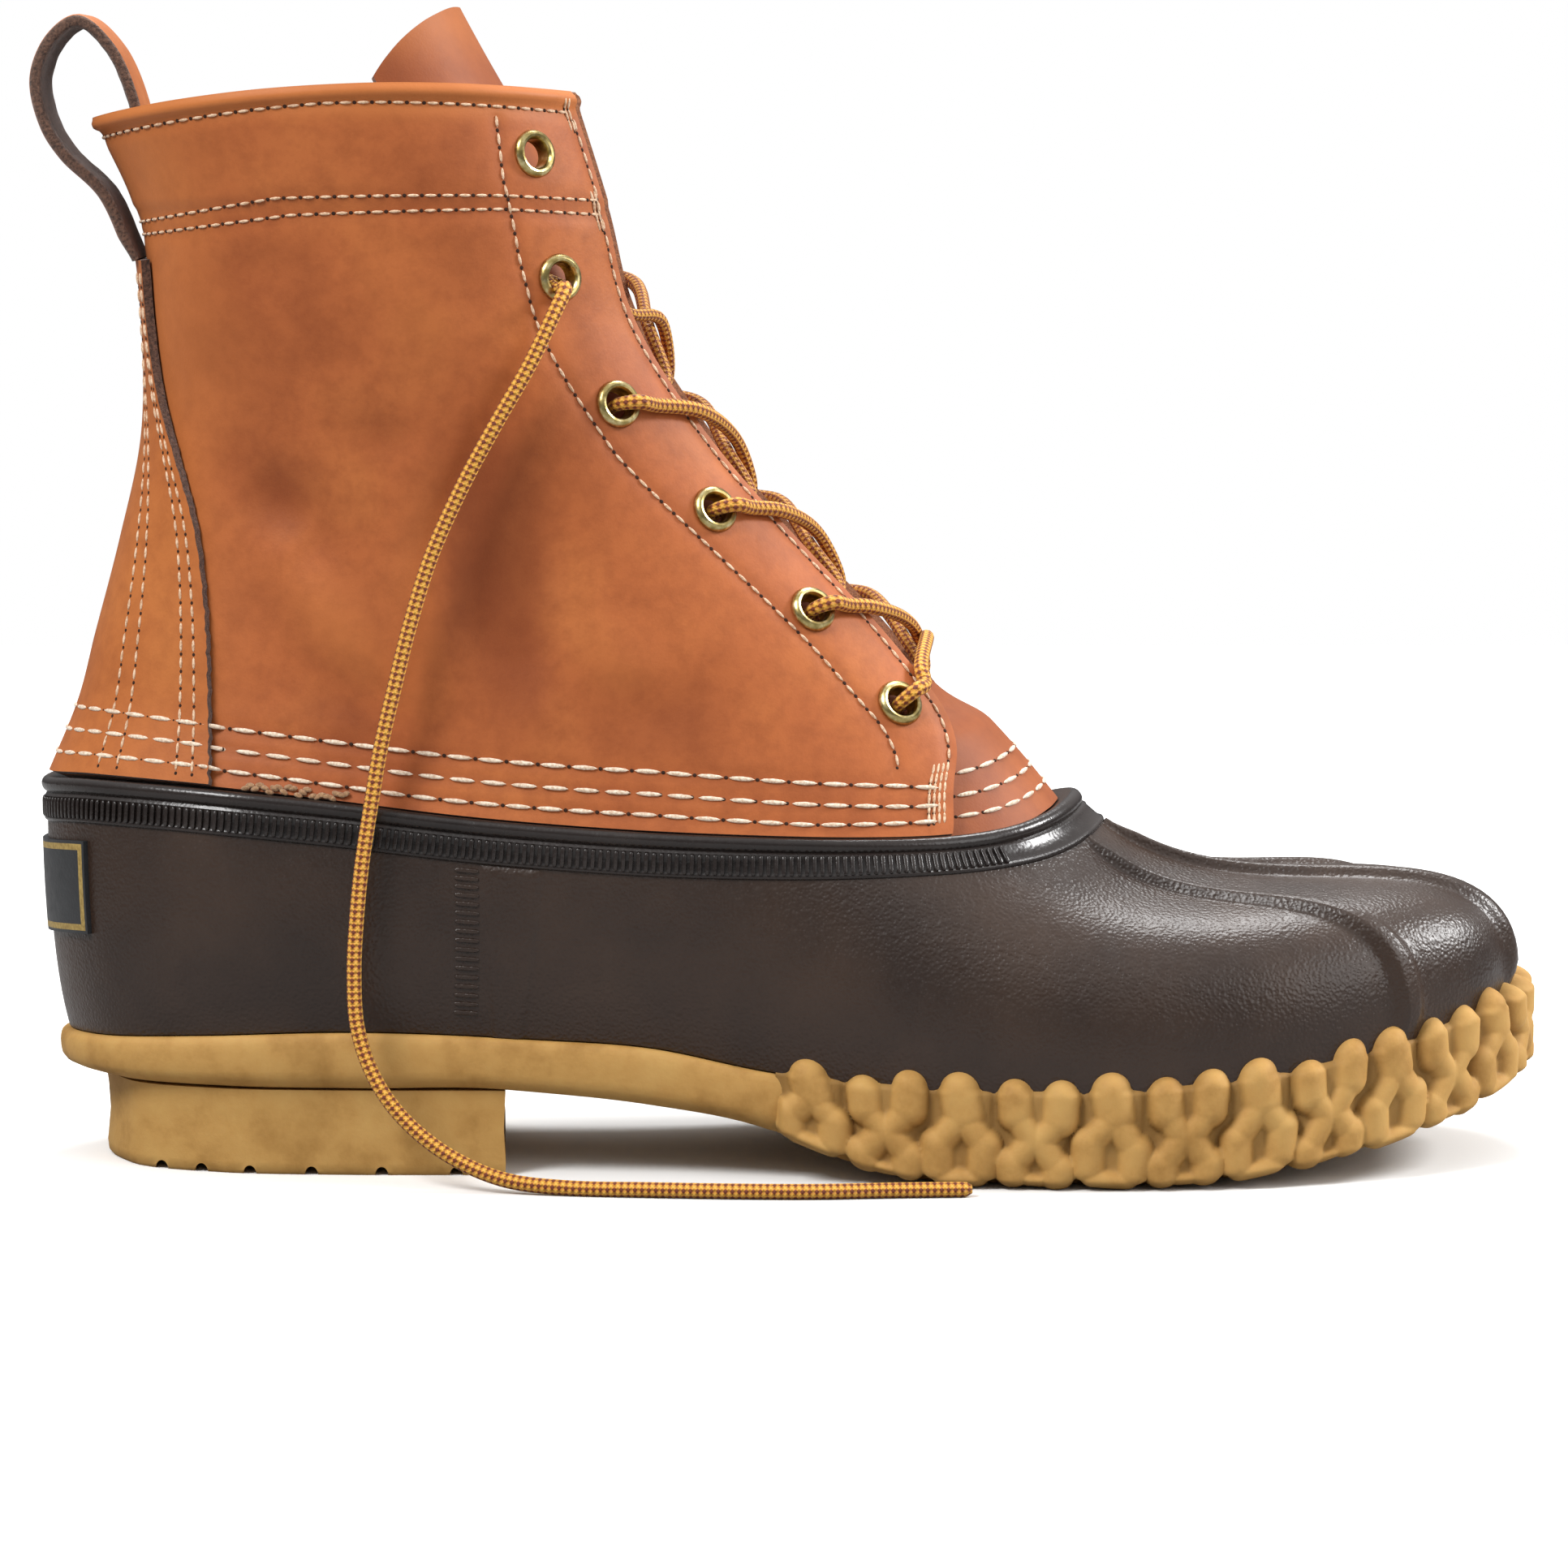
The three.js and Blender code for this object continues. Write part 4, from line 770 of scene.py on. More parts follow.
def keep_values(piece, name, values):
    """Keeps one number for each point, which a material can read."""
    layer = piece.data.attributes.new(name, "FLOAT", "POINT")
    layer.data.foreach_set("value", np.asarray(values, np.float32))


# %% [markdown]
# ## Creases
# Leather that has been on a foot keeps soft folds where it bends. They are few and each has its place, so
# they are placed one by one as seen in the picture: a trough or ridge along a short line, with a width and
# a depth in millimetres, fading out on both sides.

# %% Troughs and ridges of the shaft
CREASE_DEPTH = 1.35              # all folds together, deeper or shallower
CREASE_MOVED = (3.0, 2.5)        # the inner side's folds lie elsewhere by this much
CREASE_INNER = 0.7               # and are softer
SIDE_FADE = (4, 16)              # millimetres from the boot's middle over which the folds begin
CREASES = [      # height of the fold (minus is a trough), width, and its line in side view
    (-1.5, 8.0, [(93, 152), (89.5, 127), (89.5, 111), (93, 96)]),
    (1.0, 8.0, [(82, 140), (77, 118), (79, 98)]),
    (-1.2, 7.0, [(100, 140), (99, 121), (99, 105), (99, 90)]),
    (1.1, 9.0, [(52, 121), (62, 108), (72, 95)]),
    (-1.4, 9.0, [(44, 140), (50, 134), (56, 128)]),
    (-0.9, 8.0, [(56, 98), (62, 92), (70, 88)]),
    (0.7, 8.0, [(108, 112), (116, 101), (124, 95)]),
    (-0.9, 8.0, [(116, 92), (124, 91), (134, 94)]),
    (-0.5, 10.0, [(40, 186), (47, 180), (56, 182)]),
    (0.5, 9.0, [(70, 180), (78, 170), (84, 158)]),
    (-0.6, 6.0, [(62, 150), (70, 146), (78, 147)]),
]


def from_line(points, line):
    """Distance in side view from points to a line of short pieces, and the share walked along it."""
    line = np.asarray(line, float)
    best = np.full(len(points), 1e9)
    share = np.zeros(len(points))
    for k in range(len(line) - 1):
        a, b = line[k], line[k + 1]
        along = np.clip(((points - a) @ (b - a)) / ((b - a) @ (b - a)), 0, 1)
        distance = np.linalg.norm(points - (a + along[:, None] * (b - a)), axis=1)
        share = np.where(distance < best, (k + along) / (len(line) - 1), share)
        best = np.minimum(best, distance)
    return best, share


def fold_share(side_view, line, width):
    """How much of a fold is there: 1 on its line, less at its ends and sides."""
    distance, share = from_line(side_view, line)
    ends = 0.35 + 0.65 * np.sin(np.pi * np.clip(share, 0.02, 0.98))
    return np.exp(-(distance / width) ** 2 * 1.6) * ends


def crease_height(points):
    """How far the folds lift or sink the leather at these points."""
    side_view = points[:, [0, 2]]
    outer = fade(-points[:, 1], *SIDE_FADE)
    inner = fade(points[:, 1], *SIDE_FADE) * CREASE_INNER
    lift = np.zeros(len(points))
    for k, (height, width, line) in enumerate(CREASES):
        moved = np.asarray(line) + [CREASE_MOVED[0] * math.sin(2.1 * k), CREASE_MOVED[1] * math.cos(1.7 * k)]
        here = fold_share(side_view, line, width) * outer + fold_share(side_view, moved, width) * inner
        lift += height * CREASE_DEPTH * here
    return lift


# %% [markdown]
# ## Oiled leather
# The shaft is full grain cowhide, tanned and then soaked in oil and wax. Oil makes it a warm brown that is
# lighter where it is pulled, with a soft, broad shine and almost no visible pores. Painted shade darkens it
# in its folds and seam grooves, and painted highlight lightens fold ridges, the collar's top and the heel's
# back. Its cut edges and its flesh side are rough suede, darker than the face.

# %% Oiled cowhide
GRAIN_MM = 0.55                  # pores of cowhide are finer; drawn coarser so that they show


def cowhide(name, light, middle, dark, roughness, fold_shade=True):
    material, tree, shader = new_material(name, roughness, Sheen_Weight=0.02, Specular_IOR_Level=0.28)
    cloudy = noise(tree, 30, 4)
    mottled = noise(tree, 4, 5, roughness=0.65)
    pores = noise(tree, GRAIN_MM, 2)
    colour = ramp(tree, cloudy, [(0.0, dark), (0.50, middle), (1.0, light)])
    spots = ramp(tree, mottled, [(0.40, "#000000"), (0.75, "#ffffff")])
    colour = blend_colours(tree, math_node(tree, "MULTIPLY", spots, 0.40), colour, dark)
    if fold_shade:
        # Painted shade: the face is darkened towards the dark colour in the troughs of the folds and in the
        # seam grooves.
        folds = attribute(tree, "fold")
        colour = blend_colours(tree, folds, colour, dark)
        # Partly the real lighter pull of oiled hide, partly painted highlight on fold ridges, the collar's
        # top and the heel's back.
        pull_and_highlight = attribute(tree, "pulled_and_lit")
        colour = blend_colours(tree, pull_and_highlight, colour, light)
    soft = bump(tree, mottled, 0.10, 0.6)
    dress(tree, shader, colour, bump(tree, pores, 0.05, 0.7, soft))
    return material


leather_face = cowhide("oiled_cowhide", "#c5763c", "#b16132", "#7a3817", 0.55)
leather_tongue = cowhide("oiled_cowhide_tongue", "#b96d36", "#a4582a", "#793919", 0.55)
leather_back = cowhide("oiled_cowhide_backstay", "#c5793d", "#b46732", "#8c481f", 0.55, False)


def suede(name, light, dark):
    """Flesh side and cut edges: open fibres that scatter light, darker than the face."""
    stops = [(0.35, dark), (0.65, light)]
    return speckled(name, 0.95, (0.7, 5), stops, (0.45,), spread=0.7, Sheen_Weight=0.3)


raw_edge = suede("raw_suede_edge", "#7a5846", "#2f1e17")
cut_edge = suede("waxed_cut_edge", "#a3683f", "#6e3d24")
lining = suede("flesh_side", "#b98a63", "#8f623f")

# %% [markdown]
# ## Where the seams run
# On a real boot the seams are sewn before the shaft is closed, so every row follows a hide edge at an even
# distance. The rows are worked out before the hide, because the hide is drawn down a little along each.
# There are two threads: a fine one on the shaft, six stitches to two centimetres, and a thick waxed one
# in three rows that hold the leather to the rubber.

# %% Seam rows as addresses on the leather
FINE_PITCH = 3.4
THICK_PITCH = 6.2
TONGUE_SINK = 2.7                # face of the tongue under the face of the quarters
BACKSTAY_FACE = GAP + 0.2 + BACKSTAY


def level_at(table, x):
    table = np.asarray(table)
    return np.interp(x, table[:, 0], table[:, 1])


def round_row(table, inset, count=420):
    """A row round the shaft, its height given along the boot, from throat edge to throat edge."""
    u = np.linspace(-0.36, 0.36, count)
    level = np.full(count, 0.5)
    for _ in range(5):
        level = level_at(table, leather(u, level)[:, 0])
    ends = np.sort(level[[-60, -1]])
    edge = np.interp(level, ends, [walk(lv, throat_edge(lv, -1), -inset) for lv in ends])
    keep = (u < edge) & (u > -edge)
    return u[keep], level[keep]


def edge_row(distances, low, high, side, count=160):
    """A row at a distance behind the throat edge. Distances is a table of level and millimetres."""
    level = np.linspace(low, high, count)
    gap = np.interp(level, [d[0] for d in distances], [d[1] for d in distances])
    u = np.array([walk(lv, throat_edge(lv, side), side * g) for lv, g in zip(level, gap)])
    return u, level


FACING = [      # level, and millimetres behind the throat edge
    (0.07, 13.4), (0.088, 13.4), (0.164, 17.2), (0.240, 18.9), (0.513, 25.8), (0.727, 24.9),
    (0.778, 25.4), (0.877, 25.2), (0.969, 22.6),
]
fine_rows = {
    "collar": round_row([(10, 0.966), (60, 0.975), (110, 0.970)], 3.2),
    "cuff_upper": round_row([(18, 0.819), (50, 0.852), (94, 0.856), (112, 0.853)], 2.0),
    "cuff_lower": round_row([(18, 0.799), (53, 0.828), (94, 0.838), (112, 0.834)], 2.0),
}
for side, name in ((-1, "outer"), (1, "inner")):
    fine_rows["edge_" + name] = edge_row([(0, 2.0), (1, 2.0)], 0.085, 0.965, side)
    fine_rows["facing_" + name] = edge_row(FACING, 0.085, 0.963, side)

TRIPLE = [
    [(5, 0.100), (36, 0.095), (75, 0.092), (123, 0.085), (154, 0.071), (172, 0.063), (182, 0.054)],
    [(5, 0.064), (36, 0.061), (75, 0.057), (123, 0.053), (154, 0.043), (177, 0.036)],
    [(5, 0.029), (36, 0.027), (75, 0.022), (123, 0.023), (154, 0.016), (177, 0.017)],
]
TRIPLE_TONGUE = [0.074, 0.048, 0.024]


def seam_points(u, level, lift):
    return off(leather, u, level, lift), normal_of(leather, u, level)


def spaced(points, normals, pitch, phase=0.5):
    """Places along a row of points, one for each pitch: middle, direction and normal."""
    walked = distances_along(points)
    count = max(1, int(round(walked[-1] / pitch)))
    step = walked[-1] / count
    at = (np.arange(count) + phase) * step

    def pick(values, where):
        return np.stack([np.interp(where, walked, values[:, k]) for k in range(3)], axis=1)

    middle = pick(points, at)
    ahead = unit(pick(points, at + step * 0.3) - pick(points, at - step * 0.3))
    return list(zip(middle, ahead, unit(pick(normals, at))))


seams = {name: seam_points(u, level, 0.0) for name, (u, level) in fine_rows.items()}
for k, table in enumerate(TRIPLE):
    seams["thick_%d" % (k + 1)] = seam_points(*round_row(table, 4.5), 0.0)

seam_marks = np.array([place[0] for row in seams.values() for place in spaced(*row, 1.6)])
print("seam rows:", len(seams), "marks:", len(seam_marks))

# %% [markdown]
# ## The leather shaft
# The quarters wrap the ankle as one wall, open at the throat. The skin is laid on the last from one throat
# edge round the heel to the other. The folds, the draw of the seams and the rolled collar are moved into
# the points themselves, because a fold must show on the outline too, and a bump in the material can't.

# %% Eyelet places
EYELET_INSET = 15
EYELETS = [      # level, and share of the inset behind the throat edge
    (0.912, 1.09), (0.741, 1.15), (0.577, 1.18), (0.434, 0.95), (0.293, 0.84), (0.164, 0.64),
]
eyelets = {}
for side in (-1, 1):
    for number, (level, inset) in enumerate(EYELETS, start=1):
        u = walk(level, throat_edge(level, side), side * inset * EYELET_INSET)
        eyelets[side, number] = {
            "u": u, "level": level, "place": leather(u, level)[0], "out": normal_of(leather, u, level)[0],
        }
print("top eyelet (mm):", eyelets[-1, 1]["place"].round(2))

# %% The skin of the shaft
COLLAR_ROLL = 0.9
SHAFT_ACROSS = 250
SEAM_DRAW = 0.32                 # a seam draws the hide down by this much
SHAFT_RIPPLE = 0.22
SHAFT_LEVELS = np.concatenate([np.linspace(0, 0.94, 96), np.linspace(0.946, 1, 16)])
HOLE = 3.7


def ripples(points, size, seed):
    """Slow smooth unevenness of a hand-cut hide."""
    random.seed(seed)
    total = np.zeros(len(points))
    for _ in range(6):
        direction = np.array([random.gauss(0, 1) for _ in range(3)])
        direction *= 2 * math.pi / (size * random.uniform(0.7, 1.5)) / np.linalg.norm(direction)
        total += np.sin(points @ direction + random.uniform(0, 6.28))
    return total / 6


def nearest(points, marks):
    tree = kdtree.KDTree(len(marks))
    for k, mark in enumerate(marks):
        tree.insert(mark, k)
    tree.balance()
    return np.array([tree.find(p)[2] for p in points])


def shaft_fold(points, level):
    """Folds and unevenness of the shaft, in millimetres. Where seams hold the hide it stays calm."""
    middle = fade(level, 0.11, 0.24) * (1 - fade(level, 0.74, 0.82))
    cuff = fade(level, 0.84, 0.9) * (1 - fade(level, 0.93, 0.96))
    return crease_height(points) * (middle + 0.3 * cuff) + ripples(points, 38, 4) * SHAFT_RIPPLE


def hide_rise(level):
    """The rolled collar and the second hide of the top panel, in millimetres."""
    roll = COLLAR_ROLL * fade(level, 0.976, 0.986) * (1 - 0.8 * fade(level, 0.991, 1.0))
    return roll + 0.35 * fade(level, 0.842, 0.848)


def shaft_place(s, t):
    level = np.interp(t, np.linspace(0, 1, len(SHAFT_LEVELS)), SHAFT_LEVELS)
    u = mix(throat_edge(level, 1) - 1, throat_edge(level, -1), s)
    base = leather(u, level)
    draw = -SEAM_DRAW * np.exp(-(nearest(base, seam_marks) / 1.5) ** 2)
    return off(leather, u, level, draw + hide_rise(level) + shaft_fold(base, level))


shaft = patch("leather_quarters", SHAFT_ACROSS, len(SHAFT_LEVELS) - 1, shaft_place, leather_face)
print("shaft points:", len(shaft.data.vertices))


def punch(piece, places, radius):
    """Cuts a round hole at each place: faces inside are deleted and the edge is drawn onto a circle."""
    mesh = bmesh.new()
    mesh.from_mesh(piece.data)
    for spot in places:
        centre = Vector(to_frame(spot["place"]))
        out = Vector(spot["out"])
        inside = [f for f in mesh.faces if (f.calc_center_median() - centre).length < radius * MM]
        bmesh.ops.delete(mesh, geom=inside, context="FACES")
        for vert in mesh.verts:
            away = vert.co - centre
            if vert.is_boundary and away.length < radius * 1.6 * MM:
                flat_part = away - out * away.dot(out)
                vert.co = centre + out * away.dot(out) + flat_part.normalized() * radius * MM
    mesh.to_mesh(piece.data)
    mesh.free()


punch(shaft, eyelets.values(), HOLE)


def thicken(piece, millimetres, edge_material, inner_material=None):
    piece.data.materials.append(edge_material)
    if inner_material is not None:
        piece.data.materials.append(inner_material)
    modifier(piece, "SOLIDIFY", thickness=millimetres * MM, offset=-1, use_even_offset=True,
             material_offset_rim=1, material_offset=2 if inner_material else 0)


thicken(shaft, LEATHER, cut_edge, lining)
points = points_of(shaft)
height = shaft_fold(points, np.full(len(points), 0.5))
distance = nearest(points, seam_marks)
# Painted shade: darker in the troughs of the folds and along the drawn-down seams.
keep_values(shaft, "fold", np.clip(-height * 0.36 + 0.30 * np.exp(-(distance / 1.3) ** 2), 0, 0.8))
# Partly the real lighter pull of the hide over fold ridges, partly painted highlight there, on the collar's
# top and the heel's back.
top_light = 0.7 * fade(points[:, 2], 206, 212)
heel_light = 0.5 * fade(-points[:, 0], -52, -18)
keep_values(shaft, "pulled_and_lit", np.clip(height * 0.25 + top_light + heel_light, 0, 0.8))
finish(shaft, ["leather_shaft"])

# %% [markdown]
# ## Tongue and vamp
# One piece of leather closes the front: its lower part is the vamp, sewn to the rubber, and its upper part
# is the tongue, which stands up behind the laces and ends in a rounded flap above the collar. It is laid
# on the same last, under the quarters.

# %% The skin of the tongue
TONGUE = np.array([      # level, overlap behind the quarters, lean towards the ankle
    (0.00, 0.45, 0.000), (0.30, 0.60, 0.005), (0.55, 1.00, 0.020), (0.70, 1.40, 0.060),
    (0.85, 2.10, 0.160), (1.00, 2.80, 0.280), (1.13, 3.00, 0.420),
])
TONGUE_TOP = 1.13
TONGUE_DROP = 0.12               # the top is this much lower at its corners
LACE_PRESS = 3.0                 # the laces press the soft tongue in
TONGUE_AXIS = np.array([LENGTH * 0.2, 0.0])

tongue_levels = np.linspace(0, TONGUE_TOP, 60)
tongue_reach = table_curve(TONGUE, 1, tongue_levels) * EYELET_INSET
tongue_from = np.array([walk(lv, throat_edge(lv, -1), -r) for lv, r in zip(tongue_levels, tongue_reach)])
tongue_to = np.array([walk(lv, throat_edge(lv, 1), r) for lv, r in zip(tongue_levels, tongue_reach)])


def tongue_at(across, level, sink):
    u = mix(np.interp(level, tongue_levels, tongue_from), np.interp(level, tongue_levels, tongue_to),
            (across + 1) / 2)
    point = off(leather, u, level, -sink)
    lean = table_curve(TONGUE, 2, level)
    point[:, :2] += (TONGUE_AXIS - point[:, :2]) * lean[:, None]
    return point


def tongue_place(s, t):
    across = 2 * s - 1
    level = t * (TONGUE_TOP - TONGUE_DROP * across ** 4)
    base = tongue_at(across, level, TONGUE_SINK)
    middle = np.exp(-(across / 0.75) ** 2)
    wave = 0.5 * np.sin(level * 46) * middle * fade(level, 0.12, 0.2) * (1 - fade(level, 0.6, 0.8))
    pressed = LACE_PRESS * fade(level, 0.11, 0.18) * (1 - fade(level, 0.80, 0.92))
    return tongue_at(across, level, TONGUE_SINK + pressed - wave - 0.15 * ripples(base, 24, 9))


tongue = patch("tongue_and_vamp", 70, 130, tongue_place, leather_tongue)
thicken(tongue, LEATHER, cut_edge, lining)
points = points_of(tongue)
# Painted shade: darker where the tongue's surface dips.
keep_values(tongue, "fold", np.clip(0.25 - 0.25 * ripples(points, 24, 9), 0, 0.5))
# Painted highlight at the top of the tongue, together with the real lighter pull of the hide.
keep_values(tongue, "pulled_and_lit", fade(points[:, 2], 216, 228) * 0.5)
finish(tongue, ["tongue"])

# %% [markdown]
# ## Backstay and pull loop
# A backstay covers the seam at the heel, and on this boot its raw edges are left dark and furry. The
# strap that makes the pull loop starts at its top, goes out behind the collar and comes back down inside.

# %% The backstay
BACKSTAY_EDGE = np.array([
    (0.00, 0.1200), (0.12, 0.1195), (0.28, 0.1172), (0.40, 0.1100), (0.49, 0.0987), (0.58, 0.0868),
    (0.68, 0.0800), (0.76, 0.0778),
])
BACKSTAY_TOP = 0.76
stay_levels = np.linspace(0, BACKSTAY_TOP + 0.06, 60)
stay_edge = table_curve(BACKSTAY_EDGE, 1, stay_levels) * LENGTH
stay_reach = find_turn(stay_levels, 0, stay_edge, 0, 0.2)


def stay_address(share, level):
    return share * np.interp(level, stay_levels, stay_reach)


def stay_place(s, t):
    share, level = 2 * s - 1, t * (BACKSTAY_TOP + 0.004)
    ragged = 0.006 * np.sin(level * 260) * np.sin(level * 97) * (np.abs(share) > 0.97)
    point = off(leather, stay_address(share + ragged, level), level, BACKSTAY_FACE)
    # The strip doesn't follow the fold. The call stays, so that the random draws keep their order.
    shaft_fold(point, level)
    return point


backstay = patch("backstay_strip", 60, 90, stay_place, leather_back)
thicken(backstay, BACKSTAY, raw_edge, raw_edge)
finish(backstay, ["backstay"])

# %% The pull loop
LOOP_WIDTH = 20
LOOP_THICKNESS = 2.7
LOOP_RISE = 21.7
LOOP_REACH = 12.2
LOOP = [
    (-0.177, -0.742), (0.454, -0.364), (0.754, -0.074), (0.904, 0.382), (0.631, 0.770),
    (0.200, 0.935), (-0.323, 0.668), (-0.690, 0.161), (-0.800, -0.253),
]
LOOP_END = 0.80
corner = leather(0, 1)[0]


def on_wall(level, outside):
    side = find_turn(level, 1, -LOOP_WIDTH / 2, 0, 0.2)
    wall = leather(0 if outside else side, level)[0]
    away = GAP + 0.2 + LOOP_THICKNESS / 2
    return (wall[0] + (-away if outside else LEATHER + away), 0, wall[2])


loop_route, loop_length = smooth_route(
    [on_wall(BACKSTAY_TOP + 0.001, True)]
    + [(corner[0] - behind * LOOP_REACH, 0, corner[2] + above * (LOOP_RISE - LOOP_THICKNESS / 2))
       for behind, above in LOOP]
    + [on_wall((LOOP_END + 0.9) / 2, False), on_wall(LOOP_END, False)], 0.8)
tangents = unit(np.gradient(loop_route, axis=0))
loop_out = np.stack([-tangents[:, 2], np.zeros(len(tangents)), tangents[:, 0]], axis=1)


def strap_place(s, t):
    """Round the strap's flat section with s, and along the strap with t."""
    index = np.rint(t * (len(loop_route) - 1)).astype(int)
    angle = -2 * np.pi * s
    across = np.sign(np.cos(angle)) * np.abs(np.cos(angle)) ** 0.25 * LOOP_WIDTH / 2
    proud = np.sign(np.sin(angle)) * np.abs(np.sin(angle)) ** 0.45 * LOOP_THICKNESS / 2
    skived = 1 - fade(t, 0, 0.06)      # the strap is pared thin where it starts
    point = loop_route[index] + loop_out[index] * (proud * (1 - 0.33 * skived) - 0.45 * skived)[:, None]
    rough = 0.12 * ripples(point + across[:, None] * [0, 1, 0], 3.0, 12)
    point = point + loop_out[index] * (rough * (proud < 0))[:, None]
    point[:, 1] += across
    return point


strap = patch("pull_loop_strap", 40, len(loop_route) - 1, strap_place, leather_back, closed=True)
strap.data.materials.append(raw_edge)
only(strap)
bpy.ops.object.mode_set(mode="EDIT")
bpy.ops.mesh.select_all(action="DESELECT")
bpy.ops.mesh.select_mode(type="EDGE")
bpy.ops.mesh.select_non_manifold()
bpy.ops.mesh.edge_face_add()
bpy.ops.object.mode_set(mode="OBJECT")
loop_points = points_of(strap)
for face in strap.data.polygons:
    centre = loop_points[list(face.vertices)].mean(axis=0)
    k = np.argmin(np.linalg.norm(loop_route - [centre[0], 0, centre[2]], axis=1))
    on_face = (centre - loop_route[k]) @ loop_out[k] > LOOP_THICKNESS * 0.36
    face.material_index = 0 if on_face and abs(centre[1]) < LOOP_WIDTH * 0.47 else 1
finish(strap, ["pull_loop"])
print("strap length (mm):", round(loop_length, 1))

# %% [markdown]
# ## Moulded brown rubber
# The bottom is natural rubber, moulded in one go against a steel mould with a fine pebble grain. Rubber
# is dark brown here, and its grain breaks the shine into small sparks instead of one clean highlight.

# %% Pebbled rubber
PEBBLE_MM = 0.65                 # the real grain is about 0.5 mm; drawn coarser so that it shows


def pebbled_rubber(name, light, dark, roughness, depth):
    material, tree, shader = new_material(name, roughness, Specular_IOR_Level=0.5, IOR=1.5)
    place = add_node(tree, "ShaderNodeTexCoord").outputs["Object"]
    cells = add_node(tree, "ShaderNodeTexVoronoi", {"Vector": place, "Scale": 1 / (PEBBLE_MM * MM)},
                     feature="SMOOTH_F1").outputs["Distance"]
    cloudy = noise(tree, 26, 4)
    fine = noise(tree, 2.2, 4)
    spread = math_node(tree, "MULTIPLY_ADD", fine, 0.22, roughness - 0.11)
    tree.links.new(spread, shader.inputs["Roughness"])
    wide = bump(tree, fine, 0.025, 0.5)
    colour = ramp(tree, cloudy, [(0.35, dark), (0.68, light)])
    dress(tree, shader, colour, bump(tree, cells, depth, 1.0, wide))
    return material


rubber_wall = pebbled_rubber("pebbled_rubber", "#39291f", "#2b1e17", 0.35, 0.14)
rubber_smooth = pebbled_rubber("smooth_rubber_trim", "#2c2421", "#1f1917", 0.25, 0.04)

# %% [markdown]
# ## The rubber bottom
# One closed section is carried round the foot: up the outside, over the bead that the leather comes out
# of, down the inside. Where the mould has ribs at the toe and a strip at the side the section swells.
# The columns stand closer together there, so that a four millimetre rib is still round.

# %% The skin of the shell
RIBS = (0.425, 0.480, 0.550)
RIB_RISE = 2.0
RIB_SHARE = 3.4 / LENGTH / 2.2
STRIP_HEIGHT = 9
BEAD_HEIGHT = 3.2
FLANGE = 1.4
FLANGE_HEIGHT = 6
SEAM_FROM, SEAM_TO, SEAM_LEAN = 0.153, 0.1605, 0.0095

rib_steps = np.array([-2.0, -1.5, -1.15, -0.9, -0.7, -0.5, -0.25, 0, 0.25, 0.5, 0.7, 0.9, 1.15, 1.5, 2.0])
seam_steps = np.linspace(0.148, 0.176, 24)
shell_turns = np.unique(np.concatenate(
    [np.linspace(0, 1, 301)] + [rib + rib_steps * RIB_SHARE for rib in RIBS] + [seam_steps, 1 - seam_steps]
).round(6))
limits = below_rim(shell_turns, [STRIP_HEIGHT, BEAD_HEIGHT])
strip_share, bead_share = limits[:, 0], limits[:, 1]


def rib_rise(u, share):
    rise = np.zeros_like(u)
    for rib in RIBS:
        rise = np.maximum(rise, RIB_RISE * (1 - fade(np.abs(u - rib) / RIB_SHARE, 0.25, 1.25)))
    return rise * fade(share, -0.02, 0.08) * (1 - 0.5 * fade(share, 0.93, 1.0))


def side_strip(u, share):
    u = np.minimum(u, 1 - u)
    right = SEAM_TO + SEAM_LEAN * share
    step = fade(u, SEAM_FROM - 0.0012, SEAM_FROM + 0.0006) * (1 - fade(u, right - 0.0006, right + 0.0014))
    return 0.45 * step * (1 - fade(share, 0.97, 1.0))


SHELL_WAVES = 0.18               # moulded rubber is never quite even
WALL_SHARES = np.concatenate([np.linspace(0, 0.94, 40), [0.965, 0.985, 1.0]])
STRIP_STEPS = [      # share of the strip's height, and how far it stands out
    (0.00, 0.0), (0.02, 0.30), (0.05, 0.50), (0.10, 0.62), (0.16, 0.45), (0.22, 0.30), (0.5, 0.30),
    (0.80, 0.30), (0.86, 0.45), (0.92, 0.30), (1.00, 0.05),
]
BEAD_STEPS = [      # the same for the bead
    (0.12, 0.60), (0.26, 0.92), (0.42, 1.08), (0.58, 1.10), (0.74, 0.95), (0.88, 0.62), (0.97, 0.25),
    (1.00, 0.0),
]


def shell_rows(u):
    rows = []
    for share in WALL_SHARES:
        waves = SHELL_WAVES * ripples(shell(u, share * strip_share), 45, 3)
        rise = rib_rise(u, share) + side_strip(u, share) + waves * math.sin(math.pi * min(share, 1))
        rows.append(off(shell, u, share * strip_share, rise))
    for share, rise in STRIP_STEPS[1:]:
        rows.append(off(shell, u, mix(strip_share, bead_share, share), rise))
    for share, rise in BEAD_STEPS:
        rows.append(off(shell, u, mix(bead_share, 1, share), rise))
    drop = np.array([0, 0, GAP])
    depth = LEATHER + GAP + 0.2
    height = FLANGE_HEIGHT / (COLLAR_HEIGHT - RIM_HEIGHT)
    in_front = fade(0.5 - np.abs(u - 0.5), 0.29, 0.345)
    inset = depth + (depth + 0.2) * in_front
    rows.append(off(leather, u, 0, -inset) - drop)
    rows.append(off(leather, u, height, -inset))
    rows.append(off(leather, u, height, -inset - FLANGE))
    foot = off(leather, u, 0, -inset - FLANGE)
    foot[:, 2] = leather(u, 0)[:, 2] - GAP - RUBBER
    rows.append(foot)
    for share in np.linspace(1, 0, 14):
        inner = off(shell, u, share * strip_share, -RUBBER)
        if share == 0:
            inner[:, 2] = shell(u, 0)[:, 2]
        rows.append(inner)
    rows.append(rows[0])
    return np.stack(rows)


shell_grid = shell_rows(shell_turns)


